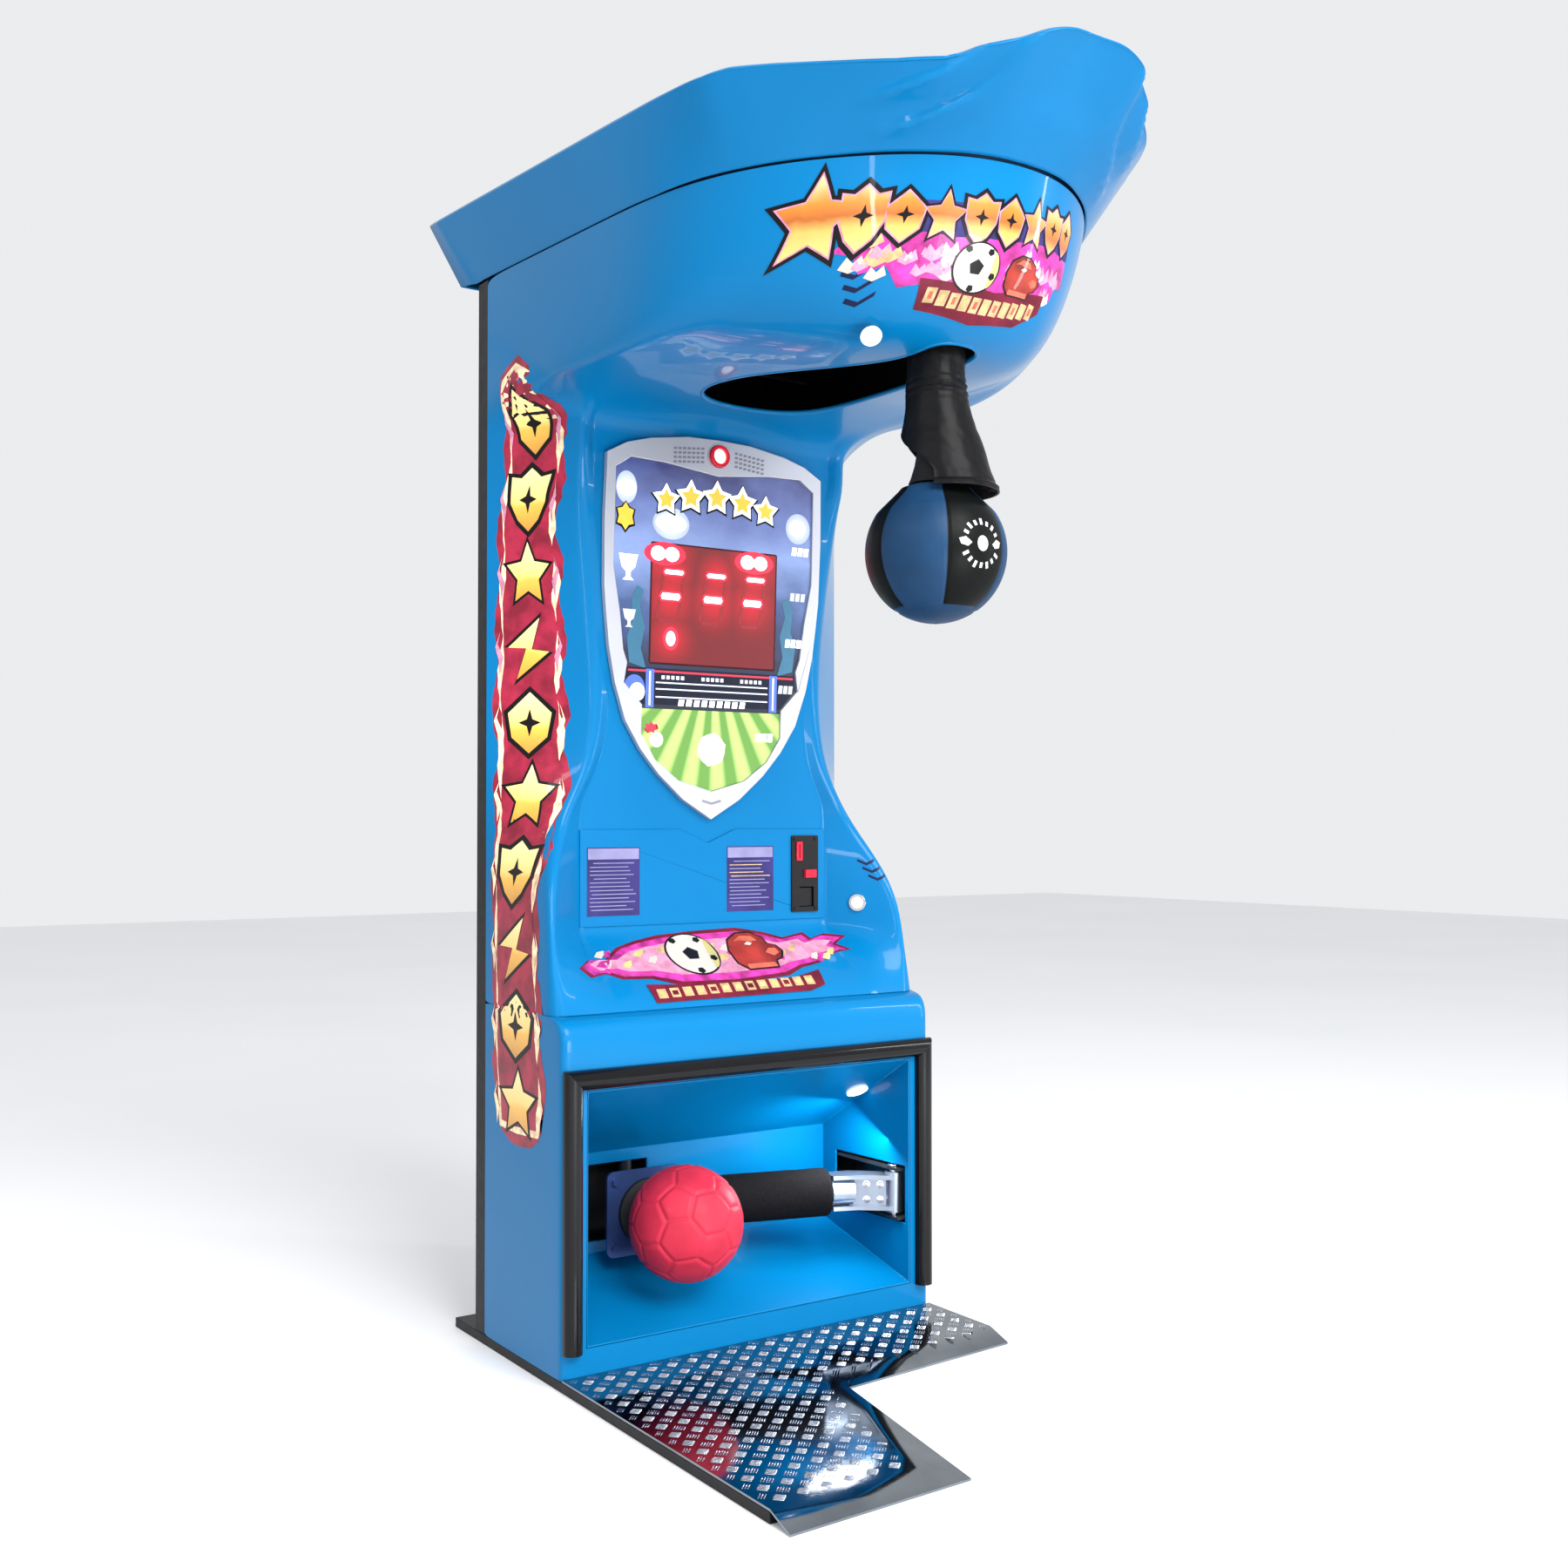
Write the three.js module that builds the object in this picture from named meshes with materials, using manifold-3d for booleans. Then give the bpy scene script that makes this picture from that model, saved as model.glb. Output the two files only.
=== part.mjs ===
// Boxing and kicking strength machine, millimetres, +Z up, the player stands on the -Y side.
// The origin is on the floor, on the centre plane, below the front face of the lower cabinet.
import * as THREE from 'three';
import { mergeVertices } from 'three/addons/utils/BufferGeometryUtils.js';
import Module from 'manifold-3d';

const wasm = await Module();
wasm.setup();

// ---------- driving dimensions ----------
const GAP = 0.3; // clearance between parts that touch
const HALF = 400; // half the cabinet width
const REAR = 314; // rear edge of the moulded sides
const FRAME_BACK = 356; // rear face of the rear frame
const WALL = 5; // thickness of the mouldings

const BOARD_TOP = 18;
const BOARD_REAR = 448;
const PLATE = 3.5; // tread plate thickness
const LEDGE = 630; // top of the lower cabinet
const LEDGE_DEPTH = 39; // how far the ledge runs back

const MOUTH = { half: 350, low: 70, high: 502 }; // kick recess at the front face
const RECESS = { half: 335, low: 150, high: 340, depth: 265 }; // kick recess at its back wall

const NECK_TOP = 1640; // where the neck starts to flare into the head
const RIM = 1940; // head rim along its front
const RIM_RISE = 0.0635; // slope of the rim towards the rear

const PUNCH = { y: -507, z: 1790 }; // pivot of the punch arm
const PUNCH_BALL = { z: 1392, r: 114 };
const KICK = { x: 352, y: 50, z: 237 }; // pivot of the kick arm
const KICK_BALL = { x: -122, y: 55, r: 105 };
const KICK_ARM = { right: [262, 112], left: [-150, 233] }; // axis of the kick arm at rest

// ---------- materials ----------
const PAINT = { color: 0x0f86cf, roughness: 0.16, metalness: 0 };
const BLACK = { color: 0x0b0c0d, roughness: 0.45, metalness: 0 };
const RUBBER = { color: 0x101112, roughness: 0.7, metalness: 0 };
const STEEL = { color: 0x9aa0a6, roughness: 0.35, metalness: 0.9 };
const CHROME = { color: 0xdfe3e6, roughness: 0.12, metalness: 1 };

// ---------- solids ----------
function toSolid(geometry) {
  const plain = geometry.clone();
  plain.deleteAttribute('normal');
  plain.deleteAttribute('uv');
  const merged = mergeVertices(plain, 1e-4);
  const mesh = new wasm.Mesh({
    numProp: 3,
    vertProperties: new Float32Array(merged.attributes.position.array),
    triVerts: new Uint32Array(merged.index.array),
  });
  return new wasm.Manifold(mesh);
}

function toGeometry(solid) {
  const mesh = solid.getMesh();
  const geometry = new THREE.BufferGeometry();
  geometry.setAttribute('position', new THREE.BufferAttribute(mesh.vertProperties, 3));
  geometry.setIndex(new THREE.BufferAttribute(mesh.triVerts, 1));
  return geometry;
}

function join(...parts) {
  return toGeometry(parts.map(toSolid).reduce((a, b) => a.add(b)));
}

function cut(base, ...tools) {
  return toGeometry(tools.map(toSolid).reduce((a, b) => a.subtract(b), toSolid(base)));
}

function box(x0, x1, y0, y1, z0, z1) {
  const geometry = new THREE.BoxGeometry(x1 - x0, y1 - y0, z1 - z0);
  return geometry.translate((x0 + x1) / 2, (y0 + y1) / 2, (z0 + z1) / 2);
}

// Round bar between two points.
function rod(radius, from, to, segments = 24) {
  const a = new THREE.Vector3(...from);
  const b = new THREE.Vector3(...to);
  const along = b.clone().sub(a);
  const geometry = new THREE.CylinderGeometry(radius, radius, along.length(), segments);
  const upright = new THREE.Vector3(0, 1, 0);
  const turn = new THREE.Quaternion().setFromUnitVectors(upright, along.clone().normalize());
  return geometry.applyQuaternion(turn).translate(...a.add(b).multiplyScalar(0.5).toArray());
}

function tube(outer, inner, from, to, segments = 24) {
  const a = new THREE.Vector3(...from);
  const b = new THREE.Vector3(...to);
  const past = b.clone().sub(a).normalize();
  const start = a.clone().sub(past).toArray();
  const end = b.clone().add(past).toArray();
  return cut(rod(outer, from, to, segments), rod(inner, start, end, segments));
}

// Flat outline pushed along one axis. The outline's two coordinates are the other axes in X, Y, Z order.
function prism(shape, axis, from, to, curveSegments = 8) {
  const geometry = new THREE.ExtrudeGeometry(shape, { depth: to - from, bevelEnabled: false, curveSegments });
  if (axis === 'z') return geometry.translate(0, 0, from);
  if (axis === 'y') return geometry.rotateX(Math.PI / 2).translate(0, to, 0);
  const basis = new THREE.Matrix4().makeBasis(
    new THREE.Vector3(0, 1, 0),
    new THREE.Vector3(0, 0, 1),
    new THREE.Vector3(1, 0, 0),
  );
  return geometry.applyMatrix4(basis).translate(from, 0, 0);
}

function outline(points) {
  return new THREE.Shape(points.map(([a, b]) => new THREE.Vector2(a, b)));
}

function roundedRect(a0, a1, b0, b1, r) {
  const shape = new THREE.Shape();
  shape.moveTo(a0 + r, b0);
  shape.lineTo(a1 - r, b0);
  shape.absarc(a1 - r, b0 + r, r, -Math.PI / 2, 0);
  shape.lineTo(a1, b1 - r);
  shape.absarc(a1 - r, b1 - r, r, 0, Math.PI / 2);
  shape.lineTo(a0 + r, b1);
  shape.absarc(a0 + r, b1 - r, r, Math.PI / 2, Math.PI);
  shape.lineTo(a0, b0 + r);
  shape.absarc(a0 + r, b0 + r, r, Math.PI, 1.5 * Math.PI);
  return shape;
}

function circle(a, b, r) {
  return new THREE.Shape().absarc(a, b, r, 0, 2 * Math.PI);
}

// Turned piece about a line parallel to Z.
// The profile holds [radius, height] pairs and starts and ends on the axis.
function turned(profile, x, y, segments = 28) {
  const points = profile.map(([r, z]) => new THREE.Vector2(r, z));
  return new THREE.LatheGeometry(points, segments).rotateX(Math.PI / 2).translate(x, y, 0);
}

// Piece built standing on Z=0 at the origin, then set with its +Z along a direction.
function place(geometry, position, direction) {
  const turn = new THREE.Quaternion().setFromUnitVectors(
    new THREE.Vector3(0, 0, 1),
    new THREE.Vector3(...direction).normalize(),
  );
  return geometry.applyQuaternion(turn).translate(...position);
}

// Straight-line table lookup: pairs of [input, output] in rising order of input.
function lookup(table, value) {
  const last = table.length - 1;
  if (value <= table[0][0]) return table[0][1];
  if (value >= table[last][0]) return table[last][1];
  const k = table.findIndex((row) => row[0] > value);
  const [a, b] = [table[k - 1], table[k]];
  return a[1] + ((value - a[0]) / (b[0] - a[0])) * (b[1] - a[1]);
}

function smooth(value) {
  const t = Math.min(1, Math.max(0, value));
  return t * t * (3 - 2 * t);
}

// Thin moulding between an outer grid of points and the same grid moved inwards by the wall thickness.
// Rows run bottom to top and points in a row run left to right as seen from the front.
// A loop row closes on itself.
// Level ends keep the height of the first and last rows, so that they meet their neighbours flat.
function moulding(rows, wall, { loop = false, capped = false, levelLow = true, levelHigh = true } = {}) {
  const height = rows.length;
  const width = rows[0].length;
  const wrap = (u) => (loop ? (u + width) % width : Math.min(width - 1, Math.max(0, u)));
  const clampRow = (v) => Math.min(height - 1, Math.max(0, v));
  const normal = (v, u) => {
    const across = rows[v][wrap(u + 1)].clone().sub(rows[v][wrap(u - 1)]);
    const up = rows[clampRow(v + 1)][u].clone().sub(rows[clampRow(v - 1)][u]);
    return across.cross(up).normalize();
  };
  const inner = rows.map((row, v) => row.map((p, u) => {
    const out = normal(v, u);
    if ((v === 0 && levelLow) || (v === height - 1 && levelHigh)) out.setZ(0).normalize();
    return p.clone().addScaledVector(out, -wall);
  }));
  const points = [...rows.flat(), ...inner.flat()];
  const at = (side, v, u) => side * height * width + v * width + wrap(u);
  const faces = [];
  const quad = (a, b, c, d) => faces.push(a, b, c, a, c, d);
  const columns = loop ? width : width - 1;
  for (let v = 0; v < height - 1; v += 1) {
    for (let u = 0; u < columns; u += 1) {
      quad(at(0, v, u), at(0, v, u + 1), at(0, v + 1, u + 1), at(0, v + 1, u));
      quad(at(1, v, u), at(1, v + 1, u), at(1, v + 1, u + 1), at(1, v, u + 1));
    }
    if (!loop) {
      quad(at(0, v, 0), at(0, v + 1, 0), at(1, v + 1, 0), at(1, v, 0));
      quad(at(0, v, width - 1), at(1, v, width - 1), at(1, v + 1, width - 1), at(0, v + 1, width - 1));
    }
  }
  const top = height - 1;
  for (let u = 0; u < columns; u += 1) {
    quad(at(0, 0, u), at(1, 0, u), at(1, 0, u + 1), at(0, 0, u + 1));
    if (!capped) quad(at(0, top, u), at(0, top, u + 1), at(1, top, u + 1), at(1, top, u));
  }
  if (capped) {
    const total = (list) => list.reduce((sum, p) => sum.add(p), new THREE.Vector3());
    const middle = (list) => total(list).divideScalar(list.length);
    const outerTop = points.push(middle(rows[top])) - 1;
    const innerTop = points.push(middle(inner[top])) - 1;
    for (let u = 0; u < columns; u += 1) {
      faces.push(at(0, top, u), at(0, top, u + 1), outerTop);
      faces.push(at(1, top, u + 1), at(1, top, u), innerTop);
    }
  }
  const geometry = new THREE.BufferGeometry().setFromPoints(points);
  geometry.setIndex(faces);
  return geometry;
}

const group = new THREE.Group();

function add(name, geometry, look) {
  const material = new THREE.MeshStandardMaterial(look);
  const mesh = new THREE.Mesh(geometry, material);
  mesh.name = name;
  group.add(mesh);
}

// ---------- base ----------
// Plan of the foot board: a long tongue on the left for the boxer, a short front on the right for the kicker.
const FOOT = [
  [-HALF, -630],
  [-144, -629],
  [-38, -281],
  [-10, -215],
  [HALF, -180],
];

function baseBoard() {
  const plan = outline([[-HALF, BOARD_REAR], ...FOOT, [HALF, BOARD_REAR]]);
  return prism(plan, 'z', 0, BOARD_TOP);
}

// Tread plate over the foot board, with its front edges bent down to the floor.
function treadPlate() {
  const top = BOARD_TOP + GAP + PLATE;
  const flat = prism(outline([[-HALF, -GAP], ...FOOT, [HALF, -GAP]]), 'z', top - PLATE, top);
  const lips = [
    [-HALF, -679],
    [-72, -671],
    [13, -258],
    [HALF, -229],
  ];
  const edges = [FOOT[0], FOOT[1], FOOT[2], FOOT[3], FOOT[4]];
  const strip = (a, b, c, d) => {
    const points = [a, b, c, d].flatMap(([x, y], k) => {
      const z = k < 2 ? top : PLATE + GAP;
      return [new THREE.Vector3(x, y, z), new THREE.Vector3(x, y, z - PLATE)];
    });
    const geometry = new THREE.BufferGeometry().setFromPoints(points);
    geometry.setIndex([
      0, 4, 2, 0, 6, 4, 1, 3, 5, 1, 5, 7, 0, 2, 3, 0, 3, 1,
      2, 4, 5, 2, 5, 3, 4, 6, 7, 4, 7, 5, 6, 0, 1, 6, 1, 7,
    ]);
    return geometry;
  };
  const tongue = strip(edges[0], edges[1], lips[1], lips[0]);
  const side = strip(edges[1], edges[2], lips[2], lips[1]);
  const right = strip(edges[3], edges[4], lips[3], lips[2]);
  const corner = strip(edges[2], edges[3], lips[2], [lips[2][0] - 1, lips[2][1] - 1]);
  return join(flat, tongue, side, corner, right);
}

// ---------- cabinet mouldings ----------
// Front corner of the neck at a height: half-width, and how far back it lies.
const CORNER_HALF = [
  [630, 398], [680, 395], [760, 391], [800, 388], [840, 381], [880, 369], [920, 352], [960, 330], [1000, 305],
  [1050, 276], [1100, 259], [1150, 251], [1200, 248], [1300, 257], [1400, 272], [1500, 285], [1640, 292],
];
const CORNER_BACK = [
  [630, 39], [680, 44], [760, 56], [800, 65], [840, 78], [880, 99], [920, 123], [960, 143], [1000, 154],
  [1100, 161], [1200, 166], [1300, 172], [1400, 174], [1500, 168], [1560, 158], [1640, 132],
];
// Depth of the flat middle of the neck.
const MIDDLE_BACK = [
  [630, 39], [650, 50], [680, 84], [705, 118], [730, 152], [750, 172], [764, 181.5], [780, 182], [968, 182],
  [1640, 154.3],
];
const SIDE_STEPS = 4;
const WING_STEPS = 3;
const MIDDLE_STEPS = 3;
const CORNER_RADIUS = 22;

// Left half of a level section, from the rear edge round the corner to the centre line.
function neckHalf(z) {
  const half = lookup(CORNER_HALF, z);
  const back = lookup(CORNER_BACK, z);
  const middle = lookup(MIDDLE_BACK, z);
  const flatHalf = Math.min(275, half - 30);
  const corner = new THREE.Vector2(-half, back);
  const side = new THREE.Vector2(-HALF, REAR).sub(corner);
  const wing = new THREE.Vector2(-flatHalf, middle).sub(corner);
  const radius = Math.min(CORNER_RADIUS, wing.length() * 0.45);
  const fromSide = corner.clone().addScaledVector(side.clone().normalize(), radius);
  const toWing = corner.clone().addScaledVector(wing.clone().normalize(), radius);
  const points = [];
  for (let k = 0; k <= SIDE_STEPS; k += 1) {
    points.push(new THREE.Vector2(-HALF, REAR).lerp(fromSide, k / SIDE_STEPS));
  }
  points.push(corner.clone().lerp(fromSide, 0.5).lerp(corner.clone().lerp(toWing, 0.5), 0.5));
  for (let k = 0; k <= WING_STEPS; k += 1) {
    const p = toWing.clone().lerp(new THREE.Vector2(-flatHalf, middle), k / WING_STEPS);
    points.push(p);
  }
  for (let k = 1; k <= MIDDLE_STEPS; k += 1) {
    points.push(new THREE.Vector2(-flatHalf * (1 - k / MIDDLE_STEPS), middle));
  }
  return points;
}

// Plan of the head's rim, left half, from the rear edge to the centre of the front.
const RIM_PLAN = new THREE.CatmullRomCurve3([
  [-400, REAR], [-400, 150], [-400, 0], [-400, -150], [-399, -250], [-391, -330], [-372, -400], [-341, -468],
  [-300, -532], [-250, -590], [-200, -638], [-150, -673], [-100, -700], [-50, -714], [0, -718],
].map(([x, y]) => new THREE.Vector3(x, y, 0)), false, 'centripetal');

// Where along the rim each point of a neck section goes.
function rimHalf(count) {
  const points = [];
  for (let k = 0; k < count; k += 1) {
    const share = k / (count - 1);
    const p = RIM_PLAN.getPointAt(Math.pow(share, 0.9));
    points.push(new THREE.Vector2(p.x, p.y));
  }
  return points;
}

function rimHeight(y) {
  return RIM + RIM_RISE * Math.max(0, y + 300);
}

function mirrored(half) {
  const right = half.slice(0, -1).reverse().map((p) => new THREE.Vector3(-p.x, p.y, p.z));
  return [...half, ...right];
}

function neckRow(z) {
  return mirrored(neckHalf(z).map((p) => new THREE.Vector3(p.x, p.y, z)));
}

// Path of the flare from the neck out under the head and up to the rim:
// [distance out, further share of the way to the rim, height at the sides, height at the front].
const FLARE = [
  [0.5, 0, 1670, 1670], [1.5, 0, 1692, 1692], [7, 0, 1704, 1704], [20, 0, 1716, 1716], [42, 0, 1728, 1728],
  [66, 0.02, 1736, 1736], [70, 0.14, 1741, 1739], [55, 0.28, 1742, 1733], [38, 0.4, 1742, 1724],
  [22, 0.52, 1742, 1714], [8, 0.62, 1742, 1706], [0, 0.7, 1744, 1700], [0, 0.77, 1751, 1697],
  [0, 0.84, 1771, 1703], [0, 0.9, 1808, 1738], [0, 0.945, 1850, 1796], [0, 0.98, 1897, 1872],
  [0, 1, RIM, RIM],
];
const CHIN = { from: 530, over: 170 }; // how far forward the lower front of the head begins, and blends in

function flareRow([start, further, sideHeight, frontHeight], step) {
  const from = neckHalf(NECK_TOP);
  const to = rimHalf(from.length);
  const half = from.map((a, k) => {
    const b = to[k];
    const share = Math.min(1, further + start / Math.max(1, a.distanceTo(b)));
    const p = a.clone().lerp(b, share);
    const top = rimHeight(b.y);
    const height = sideHeight + (frontHeight - sideHeight) * smooth((-b.y - CHIN.from) / CHIN.over);
    const even = NECK_TOP + ((top - NECK_TOP) * step) / FLARE.length;
    const bend = smooth((a.distanceTo(b) - 10) / 220);
    const path = NECK_TOP + ((height - NECK_TOP) * (top - NECK_TOP)) / (RIM - NECK_TOP);
    return new THREE.Vector3(p.x, p.y, even + (path - even) * bend);
  });
  return mirrored(half);
}

// Opening under the head that the arm hangs through and the ball swings up into.
function punchOpening(grow, z0, z1) {
  const shape = new THREE.Shape();
  shape.moveTo(-52 - grow, -530);
  shape.quadraticCurveTo(-52 - grow, -572 - grow, 0, -572 - grow);
  shape.quadraticCurveTo(52 + grow, -572 - grow, 52 + grow, -530);
  shape.bezierCurveTo(66 + grow, -400, 142 + grow, -220, 142 + grow, -80);
  shape.bezierCurveTo(142 + grow, 20, 90, 52 + grow, 0, 52 + grow);
  shape.bezierCurveTo(-90, 52 + grow, -142 - grow, 20, -142 - grow, -80);
  shape.bezierCurveTo(-142 - grow, -220, -66 - grow, -400, -52 - grow, -530);
  return prism(shape, 'z', z0, z1, 10);
}

function upperShell() {
  const heights = [
    LEDGE + GAP, 655, 680, 710, 740, 770, 800, 840, 880, 920, 960, 1050, 1100, 1250, 1400, 1570,
    NECK_TOP,
  ];
  const rows = heights.map(neckRow);
  FLARE.forEach((stage, k) => rows.push(flareRow(stage, k + 1)));
  const shell = moulding(rows, WALL);
  const shieldHole = box(-146, 146, 60, 220, 1256, 1496);
  const coinHole = box(200, 252, 100, 260, 795, 930);
  return cut(shell, punchOpening(0, 1655, 1830), shieldHole, coinHole, box(-450, 450, REAR, 400, 600, 2100));
}

function lowerShell() {
  const rowAt = (front, share) => {
    const half = [];
    const corner = 14;
    for (let k = 0; k <= SIDE_STEPS; k += 1) {
      const y = REAR + ((Math.max(front, 0) + corner - REAR) * k) / SIDE_STEPS;
      half.push(new THREE.Vector3(-HALF, y, 0));
    }
    half.push(new THREE.Vector3(-HALF + 4, front + 4, 0));
    half.push(new THREE.Vector3(-HALF + corner, front, 0));
    half.push(new THREE.Vector3(-200, front, 0));
    half.push(new THREE.Vector3(0, front, 0));
    return half.map((p) => p.setZ(share));
  };
  const lift = [
    [0, BOARD_TOP + GAP], [0, 60], [0, 300], [0, 585], [3, 604], [10, 617], [22, 626],
    [LEDGE_DEPTH + 6, LEDGE],
  ];
  const rows = lift.map(([front, z], v) => {
    const half = rowAt(front, z);
    const spread = Math.max(0, v - 3) / 4;
    half.slice(0, SIDE_STEPS).forEach((p, k) => {
      const even = 585 + spread * (LEDGE - 585);
      p.z = v <= 3 ? z : even + (z - even) * (k / SIDE_STEPS);
    });
    return mirrored(half);
  });
  const shell = moulding(rows, WALL, { levelHigh: false });
  const mouth = box(-MOUTH.half - WALL, MOUTH.half + WALL, -30, 30, MOUTH.low - WALL, MOUTH.high + WALL);
  return cut(shell, mouth);
}

// Tapered recess that the kick ball hangs in.
function kickTray() {
  const face = (half, low, high, y) => [
    [-half, y, low], [half, y, low], [half, y, high], [-half, y, high],
  ];
  const taper = (grow, y0, y1) => {
    const t = (y) => y / RECESS.depth;
    const at = (y) => face(
      MOUTH.half + (RECESS.half - MOUTH.half) * t(y) + grow,
      MOUTH.low + (RECESS.low - MOUTH.low) * t(y) - grow,
      MOUTH.high + (RECESS.high - MOUTH.high) * t(y) + grow,
      y,
    );
    const points = [...at(y0), ...at(y1)].map((p) => new THREE.Vector3(...p));
    const geometry = new THREE.BufferGeometry().setFromPoints(points);
    geometry.setIndex([
      0, 1, 2, 0, 2, 3, 4, 6, 5, 4, 7, 6, 0, 5, 1, 0, 4, 5,
      1, 6, 2, 1, 5, 6, 2, 7, 3, 2, 6, 7, 3, 4, 0, 3, 7, 4,
    ]);
    return geometry;
  };
  const shell = cut(taper(WALL - GAP, 0, RECESS.depth + WALL), taper(0, -1, RECESS.depth));
  const armHole = box(-RECESS.half + 4, -85, RECESS.depth - 20, RECESS.depth + 20, 172, 316);
  const bracketHole = box(300, 380, 12, 224, 182, 292);
  return cut(shell, armHole, bracketHole);
}

// Leaning ring and roof on top of the head, with waves pressed into its front.
const EDGE_PLAN = new THREE.CatmullRomCurve3([
  [-445, 487], [-443, 330], [-440, 150], [-437, -50], [-434, -250], [-430, -380], [-420, -476], [-400, -521],
  [-360, -580], [-300, -663], [-250, -724], [-200, -773], [-150, -810], [-100, -842], [-50, -861], [0, -866],
].map(([x, y]) => new THREE.Vector3(x, y, 0)), false, 'centripetal');
const EDGE_HEIGHT = [
  [-866, 2075], [-842, 2056], [-810, 2044], [-773, 2031], [-724, 2032], [-663, 2040], [-580, 2052],
  [-521, 2058],
  [-476, 2056], [487, 2121],
];
const FRONT_STEPS = 22;

const CANOPY_FOLD = 9; // depth of the soft folds in its front

function canopy() {
  const ring = (share) => {
    const half = [];
    for (let k = 0; k <= FRONT_STEPS; k += 1) {
      const along = Math.pow(k / FRONT_STEPS, 0.72);
      const edge = EDGE_PLAN.getPointAt(along);
      const foot = k === 0 ? new THREE.Vector3(-410, 415, 0) : RIM_PLAN.getPointAt(along);
      if (k > 0 && k < 4) foot.y += (4 - k) * 25;
      const low = rimHeight(foot.y) + 3;
      const high = lookup(EDGE_HEIGHT, edge.y);
      const fold = Math.sin((edge.x / 445) * 9 + share * 5) * smooth((-500 - edge.y) / 200);
      const wave = CANOPY_FOLD * Math.sin(Math.PI * share) * fold;
      const p = foot.clone().lerp(edge, share);
      const out = new THREE.Vector3(p.x, p.y + 200, 0).normalize();
      p.addScaledVector(out, wave);
      p.z = low + (high - low) * share;
      half.push(p);
    }
    const corner = half[0];
    const rear = [150, 300].map((x) => new THREE.Vector3(-x, corner.y, corner.z));
    const centre = new THREE.Vector3(0, corner.y, corner.z);
    const left = [...rear, ...half];
    const right = left.slice(0, -1).reverse().map((p) => new THREE.Vector3(-p.x, p.y, p.z));
    return [centre, ...left, ...right];
  };
  const rows = [0, 0.2, 0.4, 0.6, 0.8, 0.94].map(ring);
  const edge = ring(1);
  const shrunk = (p, share, rise) => new THREE.Vector3(p.x * share, (p.y + 120) * share - 120, p.z + rise);
  const inwards = (share, rise) => edge.map((p) => shrunk(p, share, rise));
  rows.push(inwards(0.995, 4), inwards(0.975, 9), inwards(0.9, 12), inwards(0.5, 16));
  return moulding(rows, WALL, { loop: true, capped: true, levelHigh: false });
}

// Black sealing strip that shows as a dark line between head and canopy.
function canopySeal() {
  const row = (z, inset) => {
    const half = [];
    for (let k = 0; k <= 18; k += 1) {
      const p = RIM_PLAN.getPointAt(k / 18);
      const inward = new THREE.Vector3(p.x, Math.min(0, p.y + 200), 0).normalize().multiplyScalar(-inset);
      half.push(new THREE.Vector3(p.x + inward.x, Math.min(p.y + inward.y, REAR - 4), rimHeight(p.y) + z));
    }
    return mirrored(half);
  };
  return moulding([row(-8, 18), row(20, 10)], 3);
}

// Board across the top of the head that carries the canopy and the punch mechanism.
const ROOF = { low: 1978, high: 1994 };

function roofBoard() {
  const inset = (p) => [p.x * (1 - 26 / HALF), Math.min(p.y + 32, 390)];
  const left = RIM_PLAN.getPoints(20).map(inset);
  const right = left.slice(0, -1).reverse().map(([x, y]) => [-x, y]);
  return prism(outline([[-HALF + 26, 390], ...left, ...right, [HALF - 26, 390]]), 'z', ROOF.low, ROOF.high);
}

// ---------- rear ----------
const DOOR = { half: 357, low: 101, high: 1899, front: 340 };
const HINGE = { x: 364.5, y: 362.5, r: 6 };
const LOCK = { x: -330, z: 800 };

function rearFrame() {
  const whole = box(-HALF + GAP, HALF - GAP, REAR + GAP, FRAME_BACK, BOARD_TOP + GAP, ROOF.low - GAP);
  const doorway = box(-DOOR.half - 1, DOOR.half + 1, REAR - 10, FRAME_BACK + 10, DOOR.low - 1, DOOR.high + 1);
  const camPocket = box(-376, -350, 324, DOOR.front - GAP, LOCK.z - 36, LOCK.z + 11);
  const inlet = box(-310, -250, REAR - 10, FRAME_BACK + 10, 38, 86);
  return cut(whole, doorway, camPocket, inlet);
}

function rearDoor() {
  const slab = box(-DOOR.half, DOOR.half, DOOR.front, FRAME_BACK, DOOR.low, DOOR.high);
  const barrelHole = rod(11.3, [LOCK.x, 330, LOCK.z], [LOCK.x, 366, LOCK.z], 20);
  const slots = [0, 1, 2, 3].map((k) => box(-90, 90, 330, 366, 1640 + k * 34, 1650 + k * 34));
  return cut(slab, barrelHole, ...slots);
}

function doorHinge() {
  return rod(HINGE.r, [HINGE.x, HINGE.y, DOOR.low + 10], [HINGE.x, HINGE.y, DOOR.high - 10], 12);
}

function lockBarrel() {
  const body = rod(11, [LOCK.x, 334, LOCK.z], [LOCK.x, FRAME_BACK + GAP, LOCK.z], 20);
  const face = rod(15, [LOCK.x, FRAME_BACK + GAP, LOCK.z], [LOCK.x, 361, LOCK.z], 20);
  const keyway = box(LOCK.x - 1.5, LOCK.x + 1.5, 355, 365, LOCK.z - 6, LOCK.z + 6);
  return cut(join(body, face), keyway);
}

// Latch tongue of the lock, hanging down in the open position.
function lockCam() {
  return prism(roundedRect(LOCK.x - 9, LOCK.x + 9, LOCK.z - 42, LOCK.z + 10, 7), 'y', 329, 333.7);
}

function powerInlet() {
  const flange = box(-316, -244, FRAME_BACK + GAP, 360, 34, 90);
  const body = box(-309, -251, 322, FRAME_BACK + 1, 39, 85);
  const socket = box(-300, -260, 336, 366, 48, 74);
  const pins = [-290, -280, -270].map((x) => box(x - 1, x + 1, 330, 352, 57, 65));
  return join(cut(join(flange, body), socket), ...pins);
}

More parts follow.
